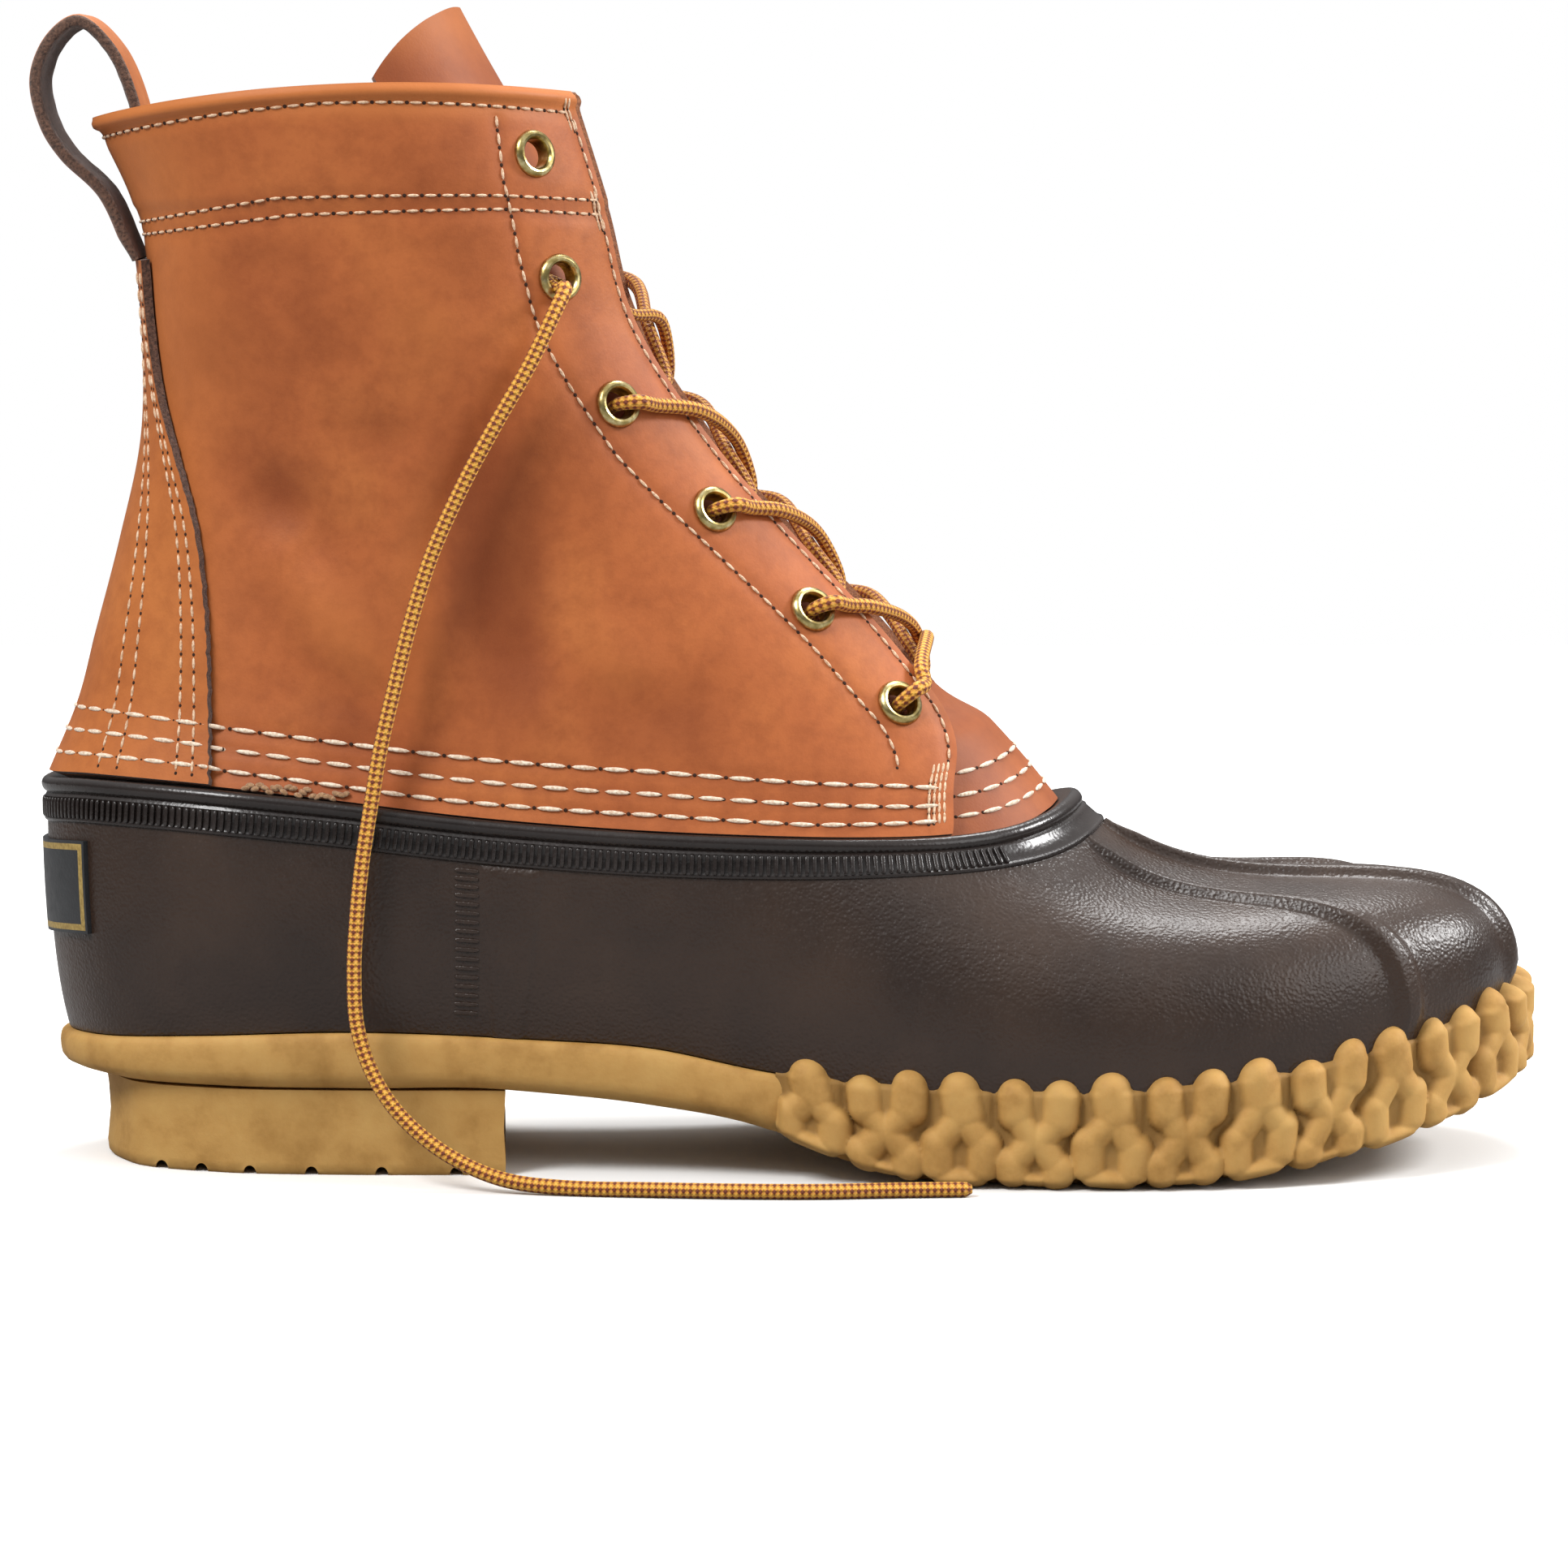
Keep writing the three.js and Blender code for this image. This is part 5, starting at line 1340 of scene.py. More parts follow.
def from_rows(grid):
    """Puts a patch's points on a grid of points that has already been worked out."""
    rows, cols = grid.shape[:2]

    def place(s, t):
        return grid[np.rint(t * (rows - 1)).astype(int), np.rint(s * (cols - 1)).astype(int)]

    return place


rubber_shell = patch("rubber_bottom", shell_grid.shape[1] - 1, shell_grid.shape[0] - 1,
                     from_rows(shell_grid), rubber_wall, closed=True)
rubber_shell.data.materials.append(rubber_smooth)
strip_row = len(WALL_SHARES) - 1
bead_row = strip_row + len(STRIP_STEPS) + len(BEAD_STEPS) - 1
for face in rubber_shell.data.polygons:
    if strip_row <= face.index // (shell_grid.shape[1] - 1) < bead_row:
        face.material_index = 1
finish(rubber_shell, ["rubber_shell"], 50)

# %% [markdown]
# ## Small things that repeat
# Teeth, stitches, needle holes and eyelets come in dozens or hundreds. Each is modelled once, small and
# simple, and then copied to every place with its own turn, into one mesh.

# %% Copies of a small model


def copies(name, base, places, material, sizes=(1, 1, 1)):
    """Copies of a small mesh. A place is a middle, the direction of its x, and the direction of its z."""
    only(base)
    verts = np.array([v.co for v in base.data.vertices]) * np.asarray(sizes)
    faces = [tuple(f.vertices) for f in base.data.polygons]
    all_points, all_faces = [], []
    for middle, ahead, up in places:
        ahead = np.asarray(ahead, float)
        up = unit(np.asarray(up, float) - ahead * (np.dot(up, ahead) / ahead.dot(ahead)))
        ahead = unit(ahead)
        axes = np.stack([ahead, np.cross(up, ahead), up])
        start = len(all_points) * len(verts)
        all_points.append(verts @ axes + middle)
        all_faces += [tuple(start + k for k in face) for face in faces]
    return mesh_piece(name, np.vstack(all_points), all_faces, material)


def taken_from(operator, **settings):
    """A small model to copy, made by one of Blender's primitives at a size of one."""
    bpy.ops.object.select_all(action="DESELECT")
    operator(**settings)
    base = bpy.context.object
    base.name = "model_to_copy"
    return base


def drop_model(base):
    bpy.data.objects.remove(base, do_unlink=True)


# %% The ribbed strip and the side ticks
TOOTH_PITCH = 1.5
TOOTH_DROP = 6.1                 # from the rim to the middle of the strip
TICK_TURN = 0.1462
tooth = taken_from(bpy.ops.mesh.primitive_cube_add, size=1)
modifier(tooth, "BEVEL", width=0.22, segments=2)
rim_turns = np.linspace(-0.35, 0.35, 980)
middle_share = below_rim(rim_turns, [TOOTH_DROP])[:, 0]
tooth_row = off(shell, rim_turns, middle_share, 0.62)
tooth_places = spaced(tooth_row, normal_of(shell, rim_turns, middle_share), TOOTH_PITCH)
teeth = copies("ribbed_strip_teeth", tooth, tooth_places, rubber_smooth, (0.80, 3.9, 0.75))
finish(teeth, (), 60)

tick_places = []
for side in (1, -1):
    strip = below_rim(np.array([side * TICK_TURN]), [STRIP_HEIGHT])[0, 0]
    for share in np.linspace(0.14, 0.95, 17):
        lean = side * (TICK_TURN + 0.004 * (share - 0.5))
        level = share * strip
        ahead = shell(lean + 0.004, level)[0] - shell(lean - 0.004, level)[0]
        tick_places.append((off(shell, lean, level, 0.06)[0], ahead, normal_of(shell, lean, level)[0]))
ticks = copies("side_ticks", tooth, tick_places, rubber_wall, (4.6, 0.85, 0.62))
finish(ticks, (), 60)
drop_model(tooth)

# %% The small panel at the back, left bare
LABEL_WIDTH = 44
LABEL_HEIGHT = 18.5
LABEL_DROP = 12.5
LABEL_EDGE = 1.2                 # from the label's edge to the middle of its gold line
LABEL_COLUMNS, LABEL_ROWS = 72, 30
half_plan = distances_along(foot_line(np.linspace(0, 0.5, 200)))[-1]
label_reach = LABEL_WIDTH / 2 / (half_plan * 2)
label_turns = np.linspace(-label_reach, label_reach, LABEL_COLUMNS + 1)
label_depths = LABEL_DROP + np.linspace(LABEL_HEIGHT, 0, LABEL_ROWS + 1)
label_shares = below_rim(label_turns, label_depths)


def label_place(s, t):
    column = np.rint(s * LABEL_COLUMNS).astype(int)
    row = np.rint(t * LABEL_ROWS).astype(int)
    return off(shell, label_turns[column], label_shares[column, row], GAP + 0.8)


def from_label_edge(row, column):
    """Millimetres from the middle of a face of the label to the nearest edge."""
    across = min(column + 0.5, LABEL_COLUMNS - column - 0.5) / LABEL_COLUMNS * LABEL_WIDTH
    up = min(row + 0.5, LABEL_ROWS - row - 0.5) / LABEL_ROWS * LABEL_HEIGHT
    return min(across, up)


panel_rubber = pebbled_rubber("panel_dark_rubber", "#2c2d2f", "#222325", 0.45, 0.03)
gilt = speckled("gilt_ink", 0.5, (0.8, 4), [(0.3, "#8a7038"), (0.7, "#b89c58")], metallic=0.2)
label = patch("heel_panel", LABEL_COLUMNS, LABEL_ROWS, label_place, panel_rubber)
label.data.materials.append(gilt)
for face in label.data.polygons:
    if abs(from_label_edge(*divmod(face.index, LABEL_COLUMNS)) - LABEL_EDGE) < 0.62:
        face.material_index = 1
modifier(label, "SOLIDIFY", thickness=1.5 * MM, offset=-1)
finish(label, ["heel_label"])

# %% [markdown]
# ## The tan sole
# The sole is a softer tan rubber. At the heel and waist it is a plain slab with rounded edges, and
# the heel block stands under it. Natural crepe rubber is matt and a little cloudy; painted shade darkens
# the ground between the tread links and the foot of the heel block.

# %% Tan crepe rubber


def crepe(name, light, middle, dark):
    material, tree, shader = new_material(name, 0.7, Subsurface_Weight=0.08, Specular_IOR_Level=0.35)
    shader.inputs["Subsurface Radius"].default_value = (0.004, 0.002, 0.0008)
    cloudy = noise(tree, 11, 5, roughness=0.6)
    colour = ramp(tree, cloudy, [(0.30, dark), (0.5, middle), (0.70, light)])
    # Painted shade: a darker brown between the chain links and at the foot of the heel block, read from the
    # points.
    colour = blend_colours(tree, attribute(tree, "hollow_shade"), colour, "#7b5a2a")
    grain = noise(tree, 0.9, 4, roughness=0.6)
    soft = bump(tree, cloudy, 0.25, 0.5)
    dress(tree, shader, colour, bump(tree, grain, 0.09, 0.7, soft))
    return material


tan_rubber = crepe("tan_crepe_rubber", "#c59b59", "#bd9150", "#a57a3d")

# %% Slab
LINK_START = 0.487
TOE_SWELL = 2.4
TREAD_INSET = 1.7                # the slab is smaller behind the chain tread
TREAD_LIFT = 2.6                 # and thinner over the tread underneath
SOLE_TURNS = 240
SLAB_LAYERS = [      # share of the height, inset, more inset at the back of the heel
    (0.00, 3.2, 4.6), (0.02, 2.2, 3.9), (0.06, 1.5, 3.1), (0.13, 0.7, 1.8), (0.22, 0.1, 0.8),
    (0.35, -0.15, 0.25), (0.52, -0.25, 0.05), (0.70, -0.3, 0.0), (0.84, -0.2, 0.0), (0.93, 0.1, 0.0),
    (0.98, 0.5, 0.0), (1.00, 1.1, 0.0),
]


def outline(u, distance):
    return foot_line(u) + plan_outward(u, 0.002) * np.reshape(distance, (-1, 1))


def facing_front(u):
    return fade(0.5 - np.abs(u - 0.5), 0.43, 0.5)


def facing_back(u):
    return np.clip(-plan_outward(u, 0.002)[:, 0], 0, 1) * ((u < 0.25) | (u > 0.75))


sole_turns = np.linspace(0, 1, SOLE_TURNS, endpoint=False)
tread_side = fade(foot_line(sole_turns)[:, 0], (LINK_START - 0.008) * LENGTH, (LINK_START + 0.008) * LENGTH)


def slab_ring(up, inset, heel):
    away = inset + heel * facing_back(sole_turns) - TOE_SWELL * facing_front(sole_turns) \
        + TREAD_INSET * tread_side
    point = outline(sole_turns, SOLE_LEDGE - away)
    low = sole_bottom(point[:, 0]) + TREAD_LIFT * fade(point[:, 0], 0.49 * LENGTH, 0.51 * LENGTH)
    point[:, 2] = mix(low, sole_top(point[:, 0]), up)
    return point


def stacked(name, rings, material):
    """Rings stacked upwards. The two ends are closed by rungs from side to side."""
    n = len(rings[0])
    faces = ring_faces(len(rings), n)
    last = (len(rings) - 1) * n
    for i in range(n // 2):
        a, b, c, d = i, i + 1, n - i - 1, (n - i) % n
        low = (a, d, c, b) if 0 < i < n // 2 - 1 else ((a, c, b) if i == 0 else (a, d, b))
        faces.append(low)
        faces.append(tuple(last + k for k in low[::-1]))
    piece = mesh_piece(name, np.vstack(rings), faces, material)
    edit_mesh(piece, bpy.ops.mesh.normals_make_consistent, inside=False)
    return piece


slab = stacked("sole_slab", [slab_ring(*layer) for layer in SLAB_LAYERS], tan_rubber)
keep_values(slab, "hollow_shade", np.zeros(len(slab.data.vertices)))
finish(slab, ["outsole"], 50)

# %% Heel block
HEEL_GROOVES = (0.16, 0.26, 0.38, 0.53, 0.70, 0.88)
HEEL_INSET_BACK = 9.5
HEEL_INSET_SIDE = 2.4
HEEL_RINGS = [      # height, and how much the block grows there
    (0, -0.7), (0.7, -0.1), (2.5, 0.1), (9, -0.5), (14, -0.2), (HEEL_HEIGHT, 0.2),
]


def heel_outline():
    breast = HEEL_FRONT * LENGTH
    turn = np.linspace(0.02, 0.49, 2000)
    edge = float(np.interp(breast + 0.01, foot_line(turn)[:, 0], turn))
    u = np.linspace(-edge, edge, 90)
    inset = mix(HEEL_INSET_SIDE, HEEL_INSET_BACK, facing_back(np.mod(u, 1)) ** 2)
    point = outline(np.mod(u, 1), SOLE_LEDGE - inset)
    point[:, 0] = np.minimum(point[:, 0], breast)
    return point


heel_plan = heel_outline()
heel_middle = heel_plan.mean(axis=0)
heel_rings = []
for z, grow in HEEL_RINGS:
    ring = heel_plan + unit(heel_plan - heel_middle) * grow
    ring[:, 0] = np.minimum(ring[:, 0], HEEL_FRONT * LENGTH)
    ring[:, 2] = z
    heel_rings.append(ring)
counts = len(heel_rings), len(heel_plan)
heel_faces = ring_faces(*counts) + flat_ends(*counts)
heel_block = mesh_piece("heel_block", np.vstack(heel_rings), heel_faces, tan_rubber)
edit_mesh(heel_block, bpy.ops.mesh.normals_make_consistent, inside=False)

back = heel_plan[:, 0].min()
for share in HEEL_GROOVES:
    x = mix(back, HEEL_FRONT * LENGTH, share)
    bpy.ops.object.select_all(action="DESELECT")
    bpy.ops.mesh.primitive_cylinder_add(vertices=24, radius=1.3 * MM, depth=0.12,
                                        location=tuple(to_frame((x, 0, 0.1))), rotation=(math.pi / 2, 0, 0))
    cutter = bpy.context.object
    cutter.scale = (1, 1.25, 1)
    modifier(heel_block, "BOOLEAN", operation="DIFFERENCE", object=cutter, solver="EXACT")
    bpy.data.objects.remove(cutter, do_unlink=True)
# Painted shade at the foot of the heel block and in its grooves.
keep_values(heel_block, "hollow_shade", fade(-points_of(heel_block)[:, 2], -1.0, 0.2) * 0.35)
finish(heel_block, ["heel"], 35)

# %% [markdown]
# ## The chain tread
# Round the forefoot the sole is moulded like a chain of fat rubber links that wraps up over its edge. The
# links could be modelled one by one and bent round the toe, but moulded rubber flows together in its
# corners. So the band is one fine grid, and each of its points stands as far out as the thickest stroke
# over it: a link is drawn with a few short strokes that have a round section.

# %% Strokes of the two kinds of link
LINK_PITCH = 14.5
LINK_RISE = 1.9
LINK_LEAN, LINK_SLIP = 1.1, 0.12      # no two links are quite alike
LINK_OPEN = [      # arms up, waist, spread feet, body: from, to, radius and height in shares of the pitch
    ((-0.32, 0.98), (-0.29, 0.78), 0.25, 1.0), ((0.30, 1.02), (0.29, 0.78), 0.26, 1.0),
    ((-0.27, 0.76), (-0.07, 0.54), 0.20, 0.92), ((0.27, 0.76), (0.07, 0.54), 0.20, 0.92),
    ((-0.07, 0.50), (-0.27, 0.28), 0.21, 0.92), ((0.07, 0.50), (0.27, 0.28), 0.21, 0.92),
    ((-0.32, 0.24), (-0.29, 0.10), 0.25, 1.0), ((0.32, 0.24), (0.29, 0.10), 0.25, 1.0),
    ((0.0, 0.90), (0.0, 0.10), 0.40, 0.30), ((-0.08, 0.07), (0.08, 0.07), 0.15, 0.8),
]
LINK_CLOSED = [      # thick neck, two round lobes at the foot with a hole between, body
    ((-0.05, 1.04), (0.02, 0.78), 0.29, 1.0), ((-0.05, 0.72), (-0.25, 0.52), 0.21, 0.92),
    ((0.05, 0.72), (0.25, 0.52), 0.21, 0.92), ((-0.32, 0.46), (-0.30, 0.20), 0.24, 1.0),
    ((0.32, 0.46), (0.30, 0.20), 0.24, 1.0), ((-0.22, 0.08), (0.22, 0.08), 0.19, 0.95),
    ((0.0, 0.95), (0.0, 0.10), 0.40, 0.30),
]
walk_turns = np.linspace(0, 1, 1201)
walk_points = outline(walk_turns, SOLE_LEDGE)
walked_round = distances_along(walk_points)
in_front = foot_line(walk_turns)[:, 0] >= LINK_START * LENGTH
band_first, band_last = walked_round[in_front][0], walked_round[in_front][-1]
LINK_COUNT = int((band_last - band_first) // LINK_PITCH)
pitch = (band_last - band_first) / LINK_COUNT
print("links:", LINK_COUNT, "pitch (mm):", round(pitch, 2))


def link_height(along, up, tall):
    """Height of the moulding, 0 on the ground and 1 on a link, at millimetres along the band."""
    number = np.clip(np.floor(along / pitch), 0, LINK_COUNT - 1)
    best = np.zeros(len(along))
    for neighbour in (-1, 0, 1):
        which = number + neighbour
        local = along - (which + 0.5) * pitch
        lean = LINK_LEAN * np.sin(which * 12.9)
        slip = LINK_SLIP * np.sin(which * 7.3 + 1)
        for kind, strokes in ((0, LINK_CLOSED), (1, LINK_OPEN)):
            mine = (np.mod(which, 2) == kind) & (which >= 0) & (which < LINK_COUNT)
            for (ax, ay), (bx, by), radius, rise in strokes:
                a = np.stack([ax * pitch + lean * ay, (ay + slip * ax) * tall], axis=1)
                b = np.stack([bx * pitch + lean * by, (by + slip * bx) * tall], axis=1)
                p = np.stack([local, up], axis=1)
                run = b - a
                t = np.clip(np.einsum("ij,ij->i", p - a, run) / np.einsum("ij,ij->i", run, run), 0, 1)
                distance = np.linalg.norm(p - a - run * t[:, None], axis=1) / (radius * pitch)
                dome = np.sqrt(np.clip(1 - distance ** 2, 0, 1)) * rise
                best = np.maximum(best, np.where(mine, dome, 0))
    return best


# %% The band
BAND_ACROSS = 840
BAND_UP = 68
BAND_BELOW = 0.10                # share of the band that is turned under the sole
BAND_OVER = 5.2                  # millimetres that the band goes on above the sole's top
BAND_TUCK = 9                    # millimetres that its lower edge is turned in
BAND_BASE, BAND_SUNK = -1.3, -3.4      # ground between the links, and above the sole's top
band_gap_shade = []


def band_place(s, t):
    along = s * (band_last - band_first)
    u = np.interp(band_first + along, walked_round, walk_turns)
    ground = outline(u, SOLE_LEDGE)
    low, high = sole_bottom(ground[:, 0]), sole_top(ground[:, 0])
    tall = high - low
    under = np.clip((BAND_BELOW - t) / BAND_BELOW, 0, 1)
    up = np.clip((t - BAND_BELOW) / (1 - BAND_BELOW), 0, 1) * (tall + BAND_OVER)
    links = link_height(along, up, tall)
    top_fall = fade(up - tall, 0.0, 1.5)
    base = mix(BAND_BASE, BAND_SUNK - (TOE_SWELL + 3.5) * facing_front(u), top_fall)
    ends = fade(along, 0, 2) * (1 - fade(along, band_last - band_first - 2, band_last - band_first))
    round_foot = 1.8 * (1 - fade(up, 0, 2.6)) ** 2
    height = base + links * (LINK_RISE - base) * ends - round_foot + TOE_SWELL * facing_front(u)
    point = outline(u, SOLE_LEDGE + height - BAND_TUCK * under)
    point[:, 2] = low + up + 0.25 * under + 1.6 * (1 - links) * ends * (1 - fade(up, 0, 3.5))
    # Painted shade in the sunk ground between the links.
    band_gap_shade[:] = np.clip(0.9 - links * 1.3, 0, 0.8) * fade(up, -1, 1)
    return point


band = patch("chain_band", BAND_ACROSS, BAND_UP, band_place, tan_rubber)
keep_values(band, "hollow_shade", band_gap_shade)
modifier(band, "SMOOTH", factor=0.35, iterations=1)
finish(band, (), 60)

# %% The tread under the forefoot
GROOVE_FIRST, GROOVE_LAST, GROOVE_DEPTH = 0.555, 0.93, 2.5
GROOVE_FADE = (0.935, 0.945)
TREAD_FIRST, TREAD_LAST = 0.505, 0.955
groove_count = int((GROOVE_LAST - GROOVE_FIRST) * LENGTH // LINK_PITCH)
groove_pitch = (GROOVE_LAST - GROOVE_FIRST) * LENGTH / groove_count
half_turns = np.linspace(0, 0.5, 700)
near_line, far_line = outline(half_turns, -4.0), outline(1 - half_turns, -4.0)


def tread_place(s, t):
    x = mix(TREAD_FIRST, TREAD_LAST, s) * LENGTH
    near = np.interp(x, near_line[:, 0], near_line[:, 1])
    far = np.interp(x, far_line[:, 0], far_line[:, 1])
    y = mix(near, far, t)
    fold = 1.5 * (2 * np.abs(2 * np.mod(t * 3, 1) - 1) - 1)
    half = groove_pitch / 2
    nearest_groove = np.mod(x - fold - GROOVE_FIRST * LENGTH + half, groove_pitch) - half
    along = x / LENGTH
    inside = fade(along, GROOVE_FIRST - 0.02, GROOVE_FIRST - 0.01) * (1 - fade(along, *GROOVE_FADE))
    groove = (1 - fade(np.abs(nearest_groove), 1.0, 1.9)) * inside
    link_gap = (1 - fade(np.abs(np.mod(t * 6 + 0.5, 1) - 0.5) * 15, 0.5, 1.3)) * 0.5
    z = sole_bottom(x) + GROOVE_DEPTH * np.maximum(groove, link_gap * inside)
    return np.column_stack([x, y, z])


tread = patch("forefoot_tread", 260, 90, tread_place, tan_rubber)
edit_mesh(tread, bpy.ops.mesh.flip_normals)
keep_values(tread, "hollow_shade", np.zeros(len(tread.data.vertices)))
modifier(tread, "SOLIDIFY", thickness=3.0 * MM, offset=-1)
finish(tread, (), 50)

# %% [markdown]
# ## Brass eyelets
# Six eyelets on each side keep the lace from tearing the hide. An eyelet is a short brass tube whose rim is
# rolled outwards over a washer, so its section is one closed line, turned once round its axis and copied.

# %% The eyelets
EYELET_SECTION = [      # radius, and height over the leather's face
    (2.90, -2.45), (2.90, 0.50), (3.05, 1.00), (3.35, 1.35), (3.80, 1.45), (4.30, 1.20), (4.65, 0.75),
    (4.80, 0.30), (4.75, 0.08), (3.40, 0.08), (3.40, -2.05), (4.70, -2.05), (4.70, -2.45),
]
brass = speckled("antique_brass", 0.28, (1.5, 4), [(0.30, "#8f7d4a"), (0.50, "#b5a269"), (0.72, "#ddd0a0")],
                 (0.06, 0.6), metallic=1.0)

count = len(EYELET_SECTION)
mesh = bpy.data.meshes.new("eyelet_section")
mesh.from_pydata([(r, 0, h) for r, h in EYELET_SECTION], [(k, (k + 1) % count) for k in range(count)], [])
ring = bpy.data.objects.new("eyelet_section", mesh)
bpy.context.scene.collection.objects.link(ring)
modifier(ring, "SCREW", angle=2 * math.pi, steps=32, render_steps=32, use_merge_vertices=True,
         merge_threshold=0.001)
edit_mesh(ring, bpy.ops.mesh.normals_make_consistent, inside=False)
brass_eyelets = copies("brass_eyelets", ring, [
    (spot["place"], np.cross([0, 0, 1], spot["out"]), spot["out"]) for spot in eyelets.values()
], brass)
drop_model(ring)
finish(brass_eyelets, [
    "eyelet_%s_%d" % (name, number) for name in ("outer", "inner") for number in range(1, 7)
], 35)

# %% [markdown]
# ## The lace through the eyelets
# One lace runs through all the eyelets but the top pair. Each strand leaves an eyelet over its rim,
# crosses the tongue, dives under the opposite edge and comes up through the next eyelet from below. At
# the lowest pair it crosses straight over. The strands that start on the inner side lie underneath, and
# are darkened towards maroon: partly the braid's maroon yarns, partly painted shade. The end on the
# inner side stops behind the leather.

# %% The route of the lace
UNDER = -4.0                     # a flattened lace between the hide and the tongue
FLATTENED = 1.15
ROUND = LACE / 2
BESIDE = 6.85                    # from an eyelet's middle to where the lace lies on the leather
THROUGH = [      # height over the leather, distance from the eyelet's middle, radius
    (-4.0, 0.9, FLATTENED), (-2.2, 0.3, FLATTENED), (-0.3, 0.0, 1.3), (1.7, 1.1, 1.4), (3.0, 3.5, ROUND),
]


def on_leather(level, start, distance, rise):
    """A point at a distance along the leather from a turn, and at a rise over it."""
    return off(leather, walk(level, start, distance), level, rise)[0]


def through_eyelet(side, number, towards):
    """From inside the boot out through an eyelet and over its rim, towards a point."""
    spot = eyelets[side, number]
    out = spot["out"]
    go = towards - spot["place"]
    go = unit(go - out * go.dot(out))
    return [(spot["place"] + out * height + go * away, size) for height, away, size in THROUGH]


def strand(side, number, lift, from_inside=False):
    """Places and radii of the lace from one eyelet over the tongue and under the leather to the next."""
    upper, lower = eyelets[side, number], eyelets[-side, number + 1]

    def at(share):
        return mix(upper["level"], lower["level"], share)

    first = on_leather(at(0.03), upper["u"], -side * BESIDE, 1.7)
    if from_inside:
        edge = throat_edge(at(0.20), side)
        route = [
            (upper["place"] - upper["out"] * 4.2, FLATTENED),
            (on_leather(at(0.10), upper["u"], -side * 7.0, UNDER), FLATTENED),
            (on_leather(at(0.20), edge, -side * 0.01, -3.5), FLATTENED),
            (on_leather(at(0.28), edge, -side * 5.0, -3.0), FLATTENED),
        ]
    else:
        route = through_eyelet(side, number, first) + [
            (first, ROUND), (on_leather(at(0.10), throat_edge(at(0.10), side), 0.0, 1.6), ROUND),
        ]
    far_edge = throat_edge(at(0.84), -side)
    route += [
        (off(leather, 0.5, at(0.38), -TONGUE_SINK - LACE_PRESS + lift)[0], 1.3),
        (on_leather(at(0.80), throat_edge(at(0.80), -side), side * 5.0, -3.0), FLATTENED),
        (on_leather(at(0.84), far_edge, side * 0.01, -3.5), FLATTENED),
        (on_leather(at(0.93), lower["u"], side * 6.5, UNDER), FLATTENED),
    ]
    return route


ABOVE, BELOW = 5.4, 2.7          # millimetres over the tongue's face
LIFT = {-1: ABOVE, 1: BELOW}     # the strands that start on the inner side lie underneath
# darkening towards maroon for each side: maroon yarns, and painted shade on the strands underneath
MAROON_AND_SHADE = {-1: 0.1, 1: 0.35}
start = np.array(LACE_START)
inward = unit(start[0] - start[1])
lacing = []


def thread_on(part, maroon_and_shade):
    """Adds a part of the route. Its share darkens it towards maroon: maroon yarns and painted shade."""
    lacing.extend((place, size, maroon_and_shade) for place, size in part)


thread_on([(start[0], ROUND), (start[0] + inward * 1.4, 1.4)], 0)
thread_on(strand(-1, 2, ABOVE, True), 0.15)
for side, number in ((1, 3), (-1, 4), (1, 5)):
    thread_on(strand(side, number, LIFT[side]), MAROON_AND_SHADE[side])
near, far = eyelets[-1, 6], eyelets[1, 6]
near_aside = on_leather(near["level"] + 0.012, near["u"], BESIDE, 1.9)
far_aside = on_leather(far["level"] + 0.012, far["u"], -BESIDE, 1.9)
thread_on(through_eyelet(-1, 6, near_aside) + [(near_aside, ROUND)], 0)
bar = (      # turn, share of a level over the eyelets, rise
    (throat_edge(near["level"], -1), 0.03, 1.6), (0.5, 0.06, 0.0), (throat_edge(far["level"], 1), 0.03, 1.6),
)
thread_on([(off(leather, u, near["level"] + up, rise)[0], ROUND) for u, up, rise in bar], 0)
thread_on([(far_aside, ROUND)] + through_eyelet(1, 6, far_aside)[::-1], 0.3)
for side, number in ((-1, 5), (1, 4), (-1, 3), (1, 2)):
    thread_on(strand(side, number, LIFT[side])[::-1], MAROON_AND_SHADE[side])
print("route points of the lacing:", len(lacing))

# %% The lace
route_points = np.array([place for place, _, _ in lacing])
laced, laced_length = smooth_route(route_points, 0.8)
marks = [0]
for place in route_points[1:]:
    ahead = laced[marks[-1]:marks[-1] + 80]
    marks.append(marks[-1] + int(np.argmin(np.linalg.norm(ahead - place, axis=1))))
sizes = np.interp(np.arange(len(laced)), marks, [size for _, size, _ in lacing])
maroon_and_shade = np.interp(np.arange(len(laced)), marks, [share for _, _, share in lacing])
lace_laced = tube("lace_through_eyelets", laced, sizes, 12, lace_gold)
keep_values(lace_laced, "maroon_and_shade", np.repeat(maroon_and_shade, 12))
finish(lace_laced, ["lace_crossing_%d" % number for number in range(1, 5)] + ["lace_bar"], 80)
print("lace in the eyelets (mm):", round(laced_length, 1))

# %% [markdown]
# ## Stitches
# A machine stitch is a short loop of thread that sinks at both ends into its needle holes. Each is a small
# stretched ball laid in the drawn-down row. Where the thread goes down, a flat dark mark is painted shade of
# the needle hole.

# %% Threads and needle holes


def thread(name, light, dark):
    return speckled(name, 0.75, (0.6, 3), [(0.35, dark), (0.62, light)], (0.15,), Sheen_Weight=0.3)


fine_thread = thread("fine_tan_thread", "#e9cbab", "#bf9672")
thick_thread = thread("thick_white_thread", "#f2e2cc", "#cdb094")
# Painted shade of the needle holes: flat dark marks sunk a little under the thread.
needle_hole_shade = speckled("needle_hole_shade", 1.0, (0.5,), [(0.3, "#241209"), (0.7, "#3a2012")])

grain = taken_from(bpy.ops.mesh.primitive_uv_sphere_add, segments=8, ring_count=6, radius=0.5)
fine_places, thick_places, hole_places = [], [], []


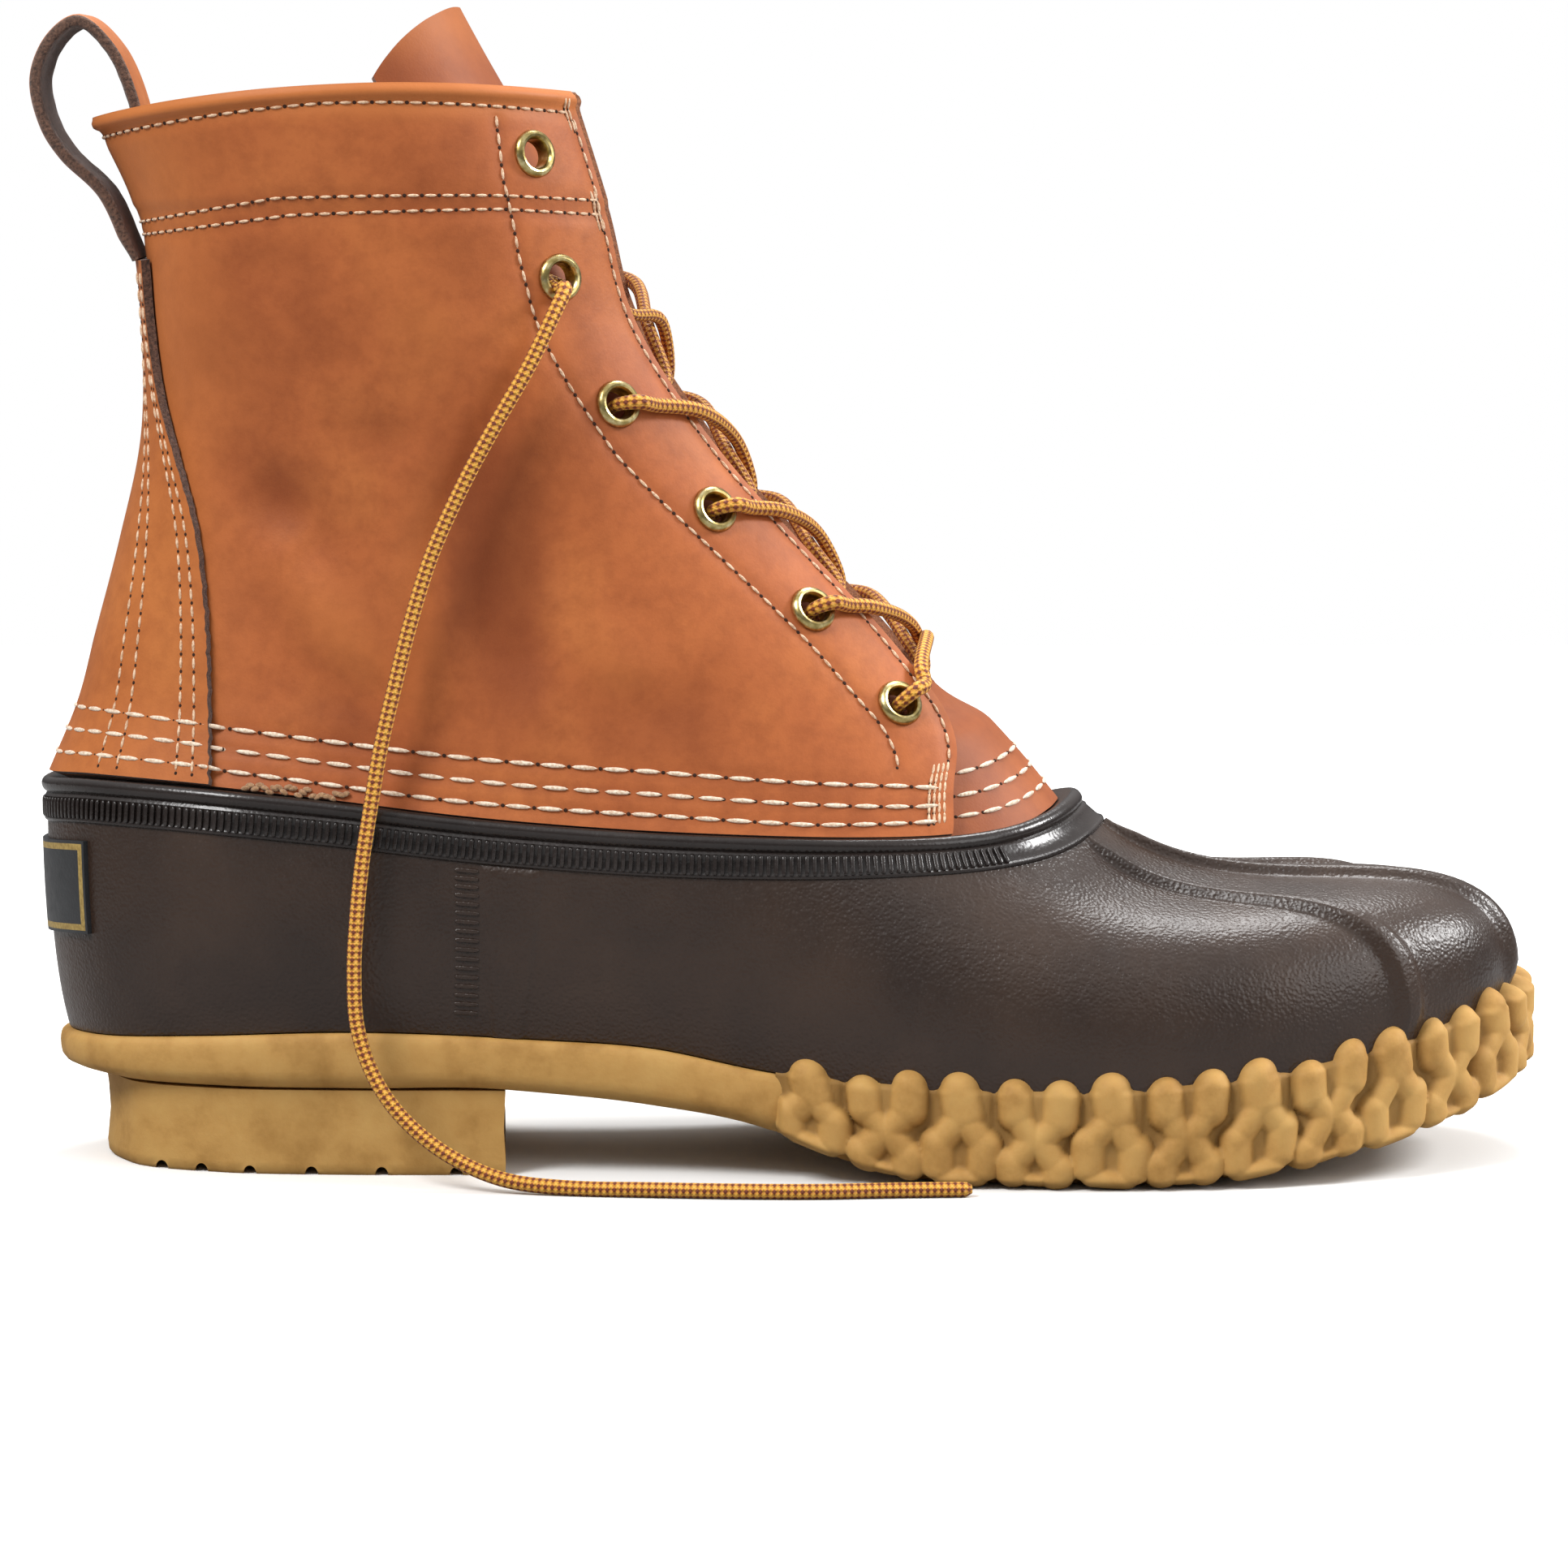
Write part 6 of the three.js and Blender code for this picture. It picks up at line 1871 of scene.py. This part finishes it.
def sew(u, level, lift, pitch, places):
    """Stitches along a row of addresses, and the holes between them."""
    points, normals = seam_points(u, level, lift)
    places.extend(spaced(points, normals, pitch))
    hole_places.extend(spaced(points - normals * 0.12, normals, pitch, 0.0))


def over_backstay(u, level):
    reach = np.interp(level, stay_levels, stay_reach)
    return BACKSTAY_FACE * (1 - fade(np.abs(u) / reach, 0.99, 1.03)) * (level < BACKSTAY_TOP)


for name, (u, level) in fine_rows.items():
    sew(u, level, shaft_fold(leather(u, level), level) + hide_rise(level) - 0.12, FINE_PITCH, fine_places)
for share in (-0.93, -0.86, -0.60, -0.50, 0.93, 0.86, 0.60, 0.50):
    level = np.linspace(0.012, BACKSTAY_TOP - 0.012, 160)
    sew(stay_address(share, level), level, BACKSTAY_FACE + 0.06, FINE_PITCH, fine_places)
for table in TRIPLE:
    u, level = round_row(table, 2.6)
    sew(u, level, over_backstay(u, level), THICK_PITCH, thick_places)
for level in TRIPLE_TONGUE:
    u = np.linspace(throat_edge(level, -1), throat_edge(level, 1), 200)[3:-3]
    sew(u, np.full(len(u), level), -TONGUE_SINK + 0.05, THICK_PITCH, thick_places)

TACK_PITCH = 2.1
TACKS = [      # level from and to, millimetres behind the edge, and the rows of one tack
    (0.945, 0.988, 3.4, (-0.6, 0.6)),
    (0.812, 0.864, 3.2, (-0.6, 0.6)),
    (0.014, 0.084, 4.2, (-2.2, -1.1, 0, 1.1)),
]
for side in (-1, 1):
    for low, high, behind, rows in TACKS:
        level = np.linspace(low, high, 10)
        for aside in rows:
            u = np.array([walk(lv, throat_edge(lv, side), side * (behind + aside)) for lv in level])
            sew(u, level, hide_rise(level) - 0.05, TACK_PITCH, fine_places)

for name, places, material, sizes in (
    ("fine_stitches", fine_places, fine_thread, (2.4, 0.62, 0.55)),
    ("thick_stitches", thick_places, thick_thread, (5.2, 0.95, 0.85)),
    ("needle_holes", hole_places, needle_hole_shade, (0.85, 0.75, 0.3)),
):
    finish(copies(name, grain, places, material, sizes), (), 60)

# %% Frayed hide at the rim
# The lower edge of the hide shows at one place above the rubber, where it was cut roughly.
FRAY_LEVEL = 0.004
FRAY_FROM, FRAY_TO, FRAY_COUNT = 43, 63, 22      # millimetres from the heel, and the number of tufts
random.seed(21)
tufts = []
for x in np.linspace(FRAY_FROM, FRAY_TO, FRAY_COUNT):
    turn = find_turn(FRAY_LEVEL, 0, x, 0.02, 0.25)[0]
    middle = off(leather, turn, FRAY_LEVEL + random.uniform(-0.004, 0.008), 0.35)[0]
    ahead = leather(turn + 0.003, FRAY_LEVEL)[0] - leather(turn, FRAY_LEVEL)[0]
    ahead = ahead + np.array([0, 0, random.uniform(-0.6, 0.6) * np.linalg.norm(ahead)])
    tufts.append((middle, ahead, normal_of(leather, turn, FRAY_LEVEL)[0]))
fray = suede("frayed_hide", "#c39a72", "#8a6240")
finish(copies("frayed_edge", grain, tufts, fray, (1.9, 1.1, 0.7)), (), 60)
drop_model(grain)
print("fine stitches:", len(fine_places), "thick stitches:", len(thick_places))

# %% [markdown]
# ## Inside the boot
# The insole of the CAD is kept as it is, and gets the cloth that covers it: a coarse grey-brown felt.

# %% Insole cloth
felt, tree, shader = new_material("insole_felt", 0.95, Sheen_Weight=0.3)
fibres = noise(tree, 0.8, 5, roughness=0.7)
weave = noise(tree, 6, 3)
felted = blend_colours(tree, math_node(tree, "MULTIPLY", weave, 0.5),
                       ramp(tree, fibres, [(0.35, "#4d4339"), (0.65, "#7d6f60")]), "#3a322b")
dress(tree, shader, felted, bump(tree, fibres, 0.35))
insole = bpy.data.objects["insole"]
insole.data.materials.clear()
insole.data.materials.append(felt)
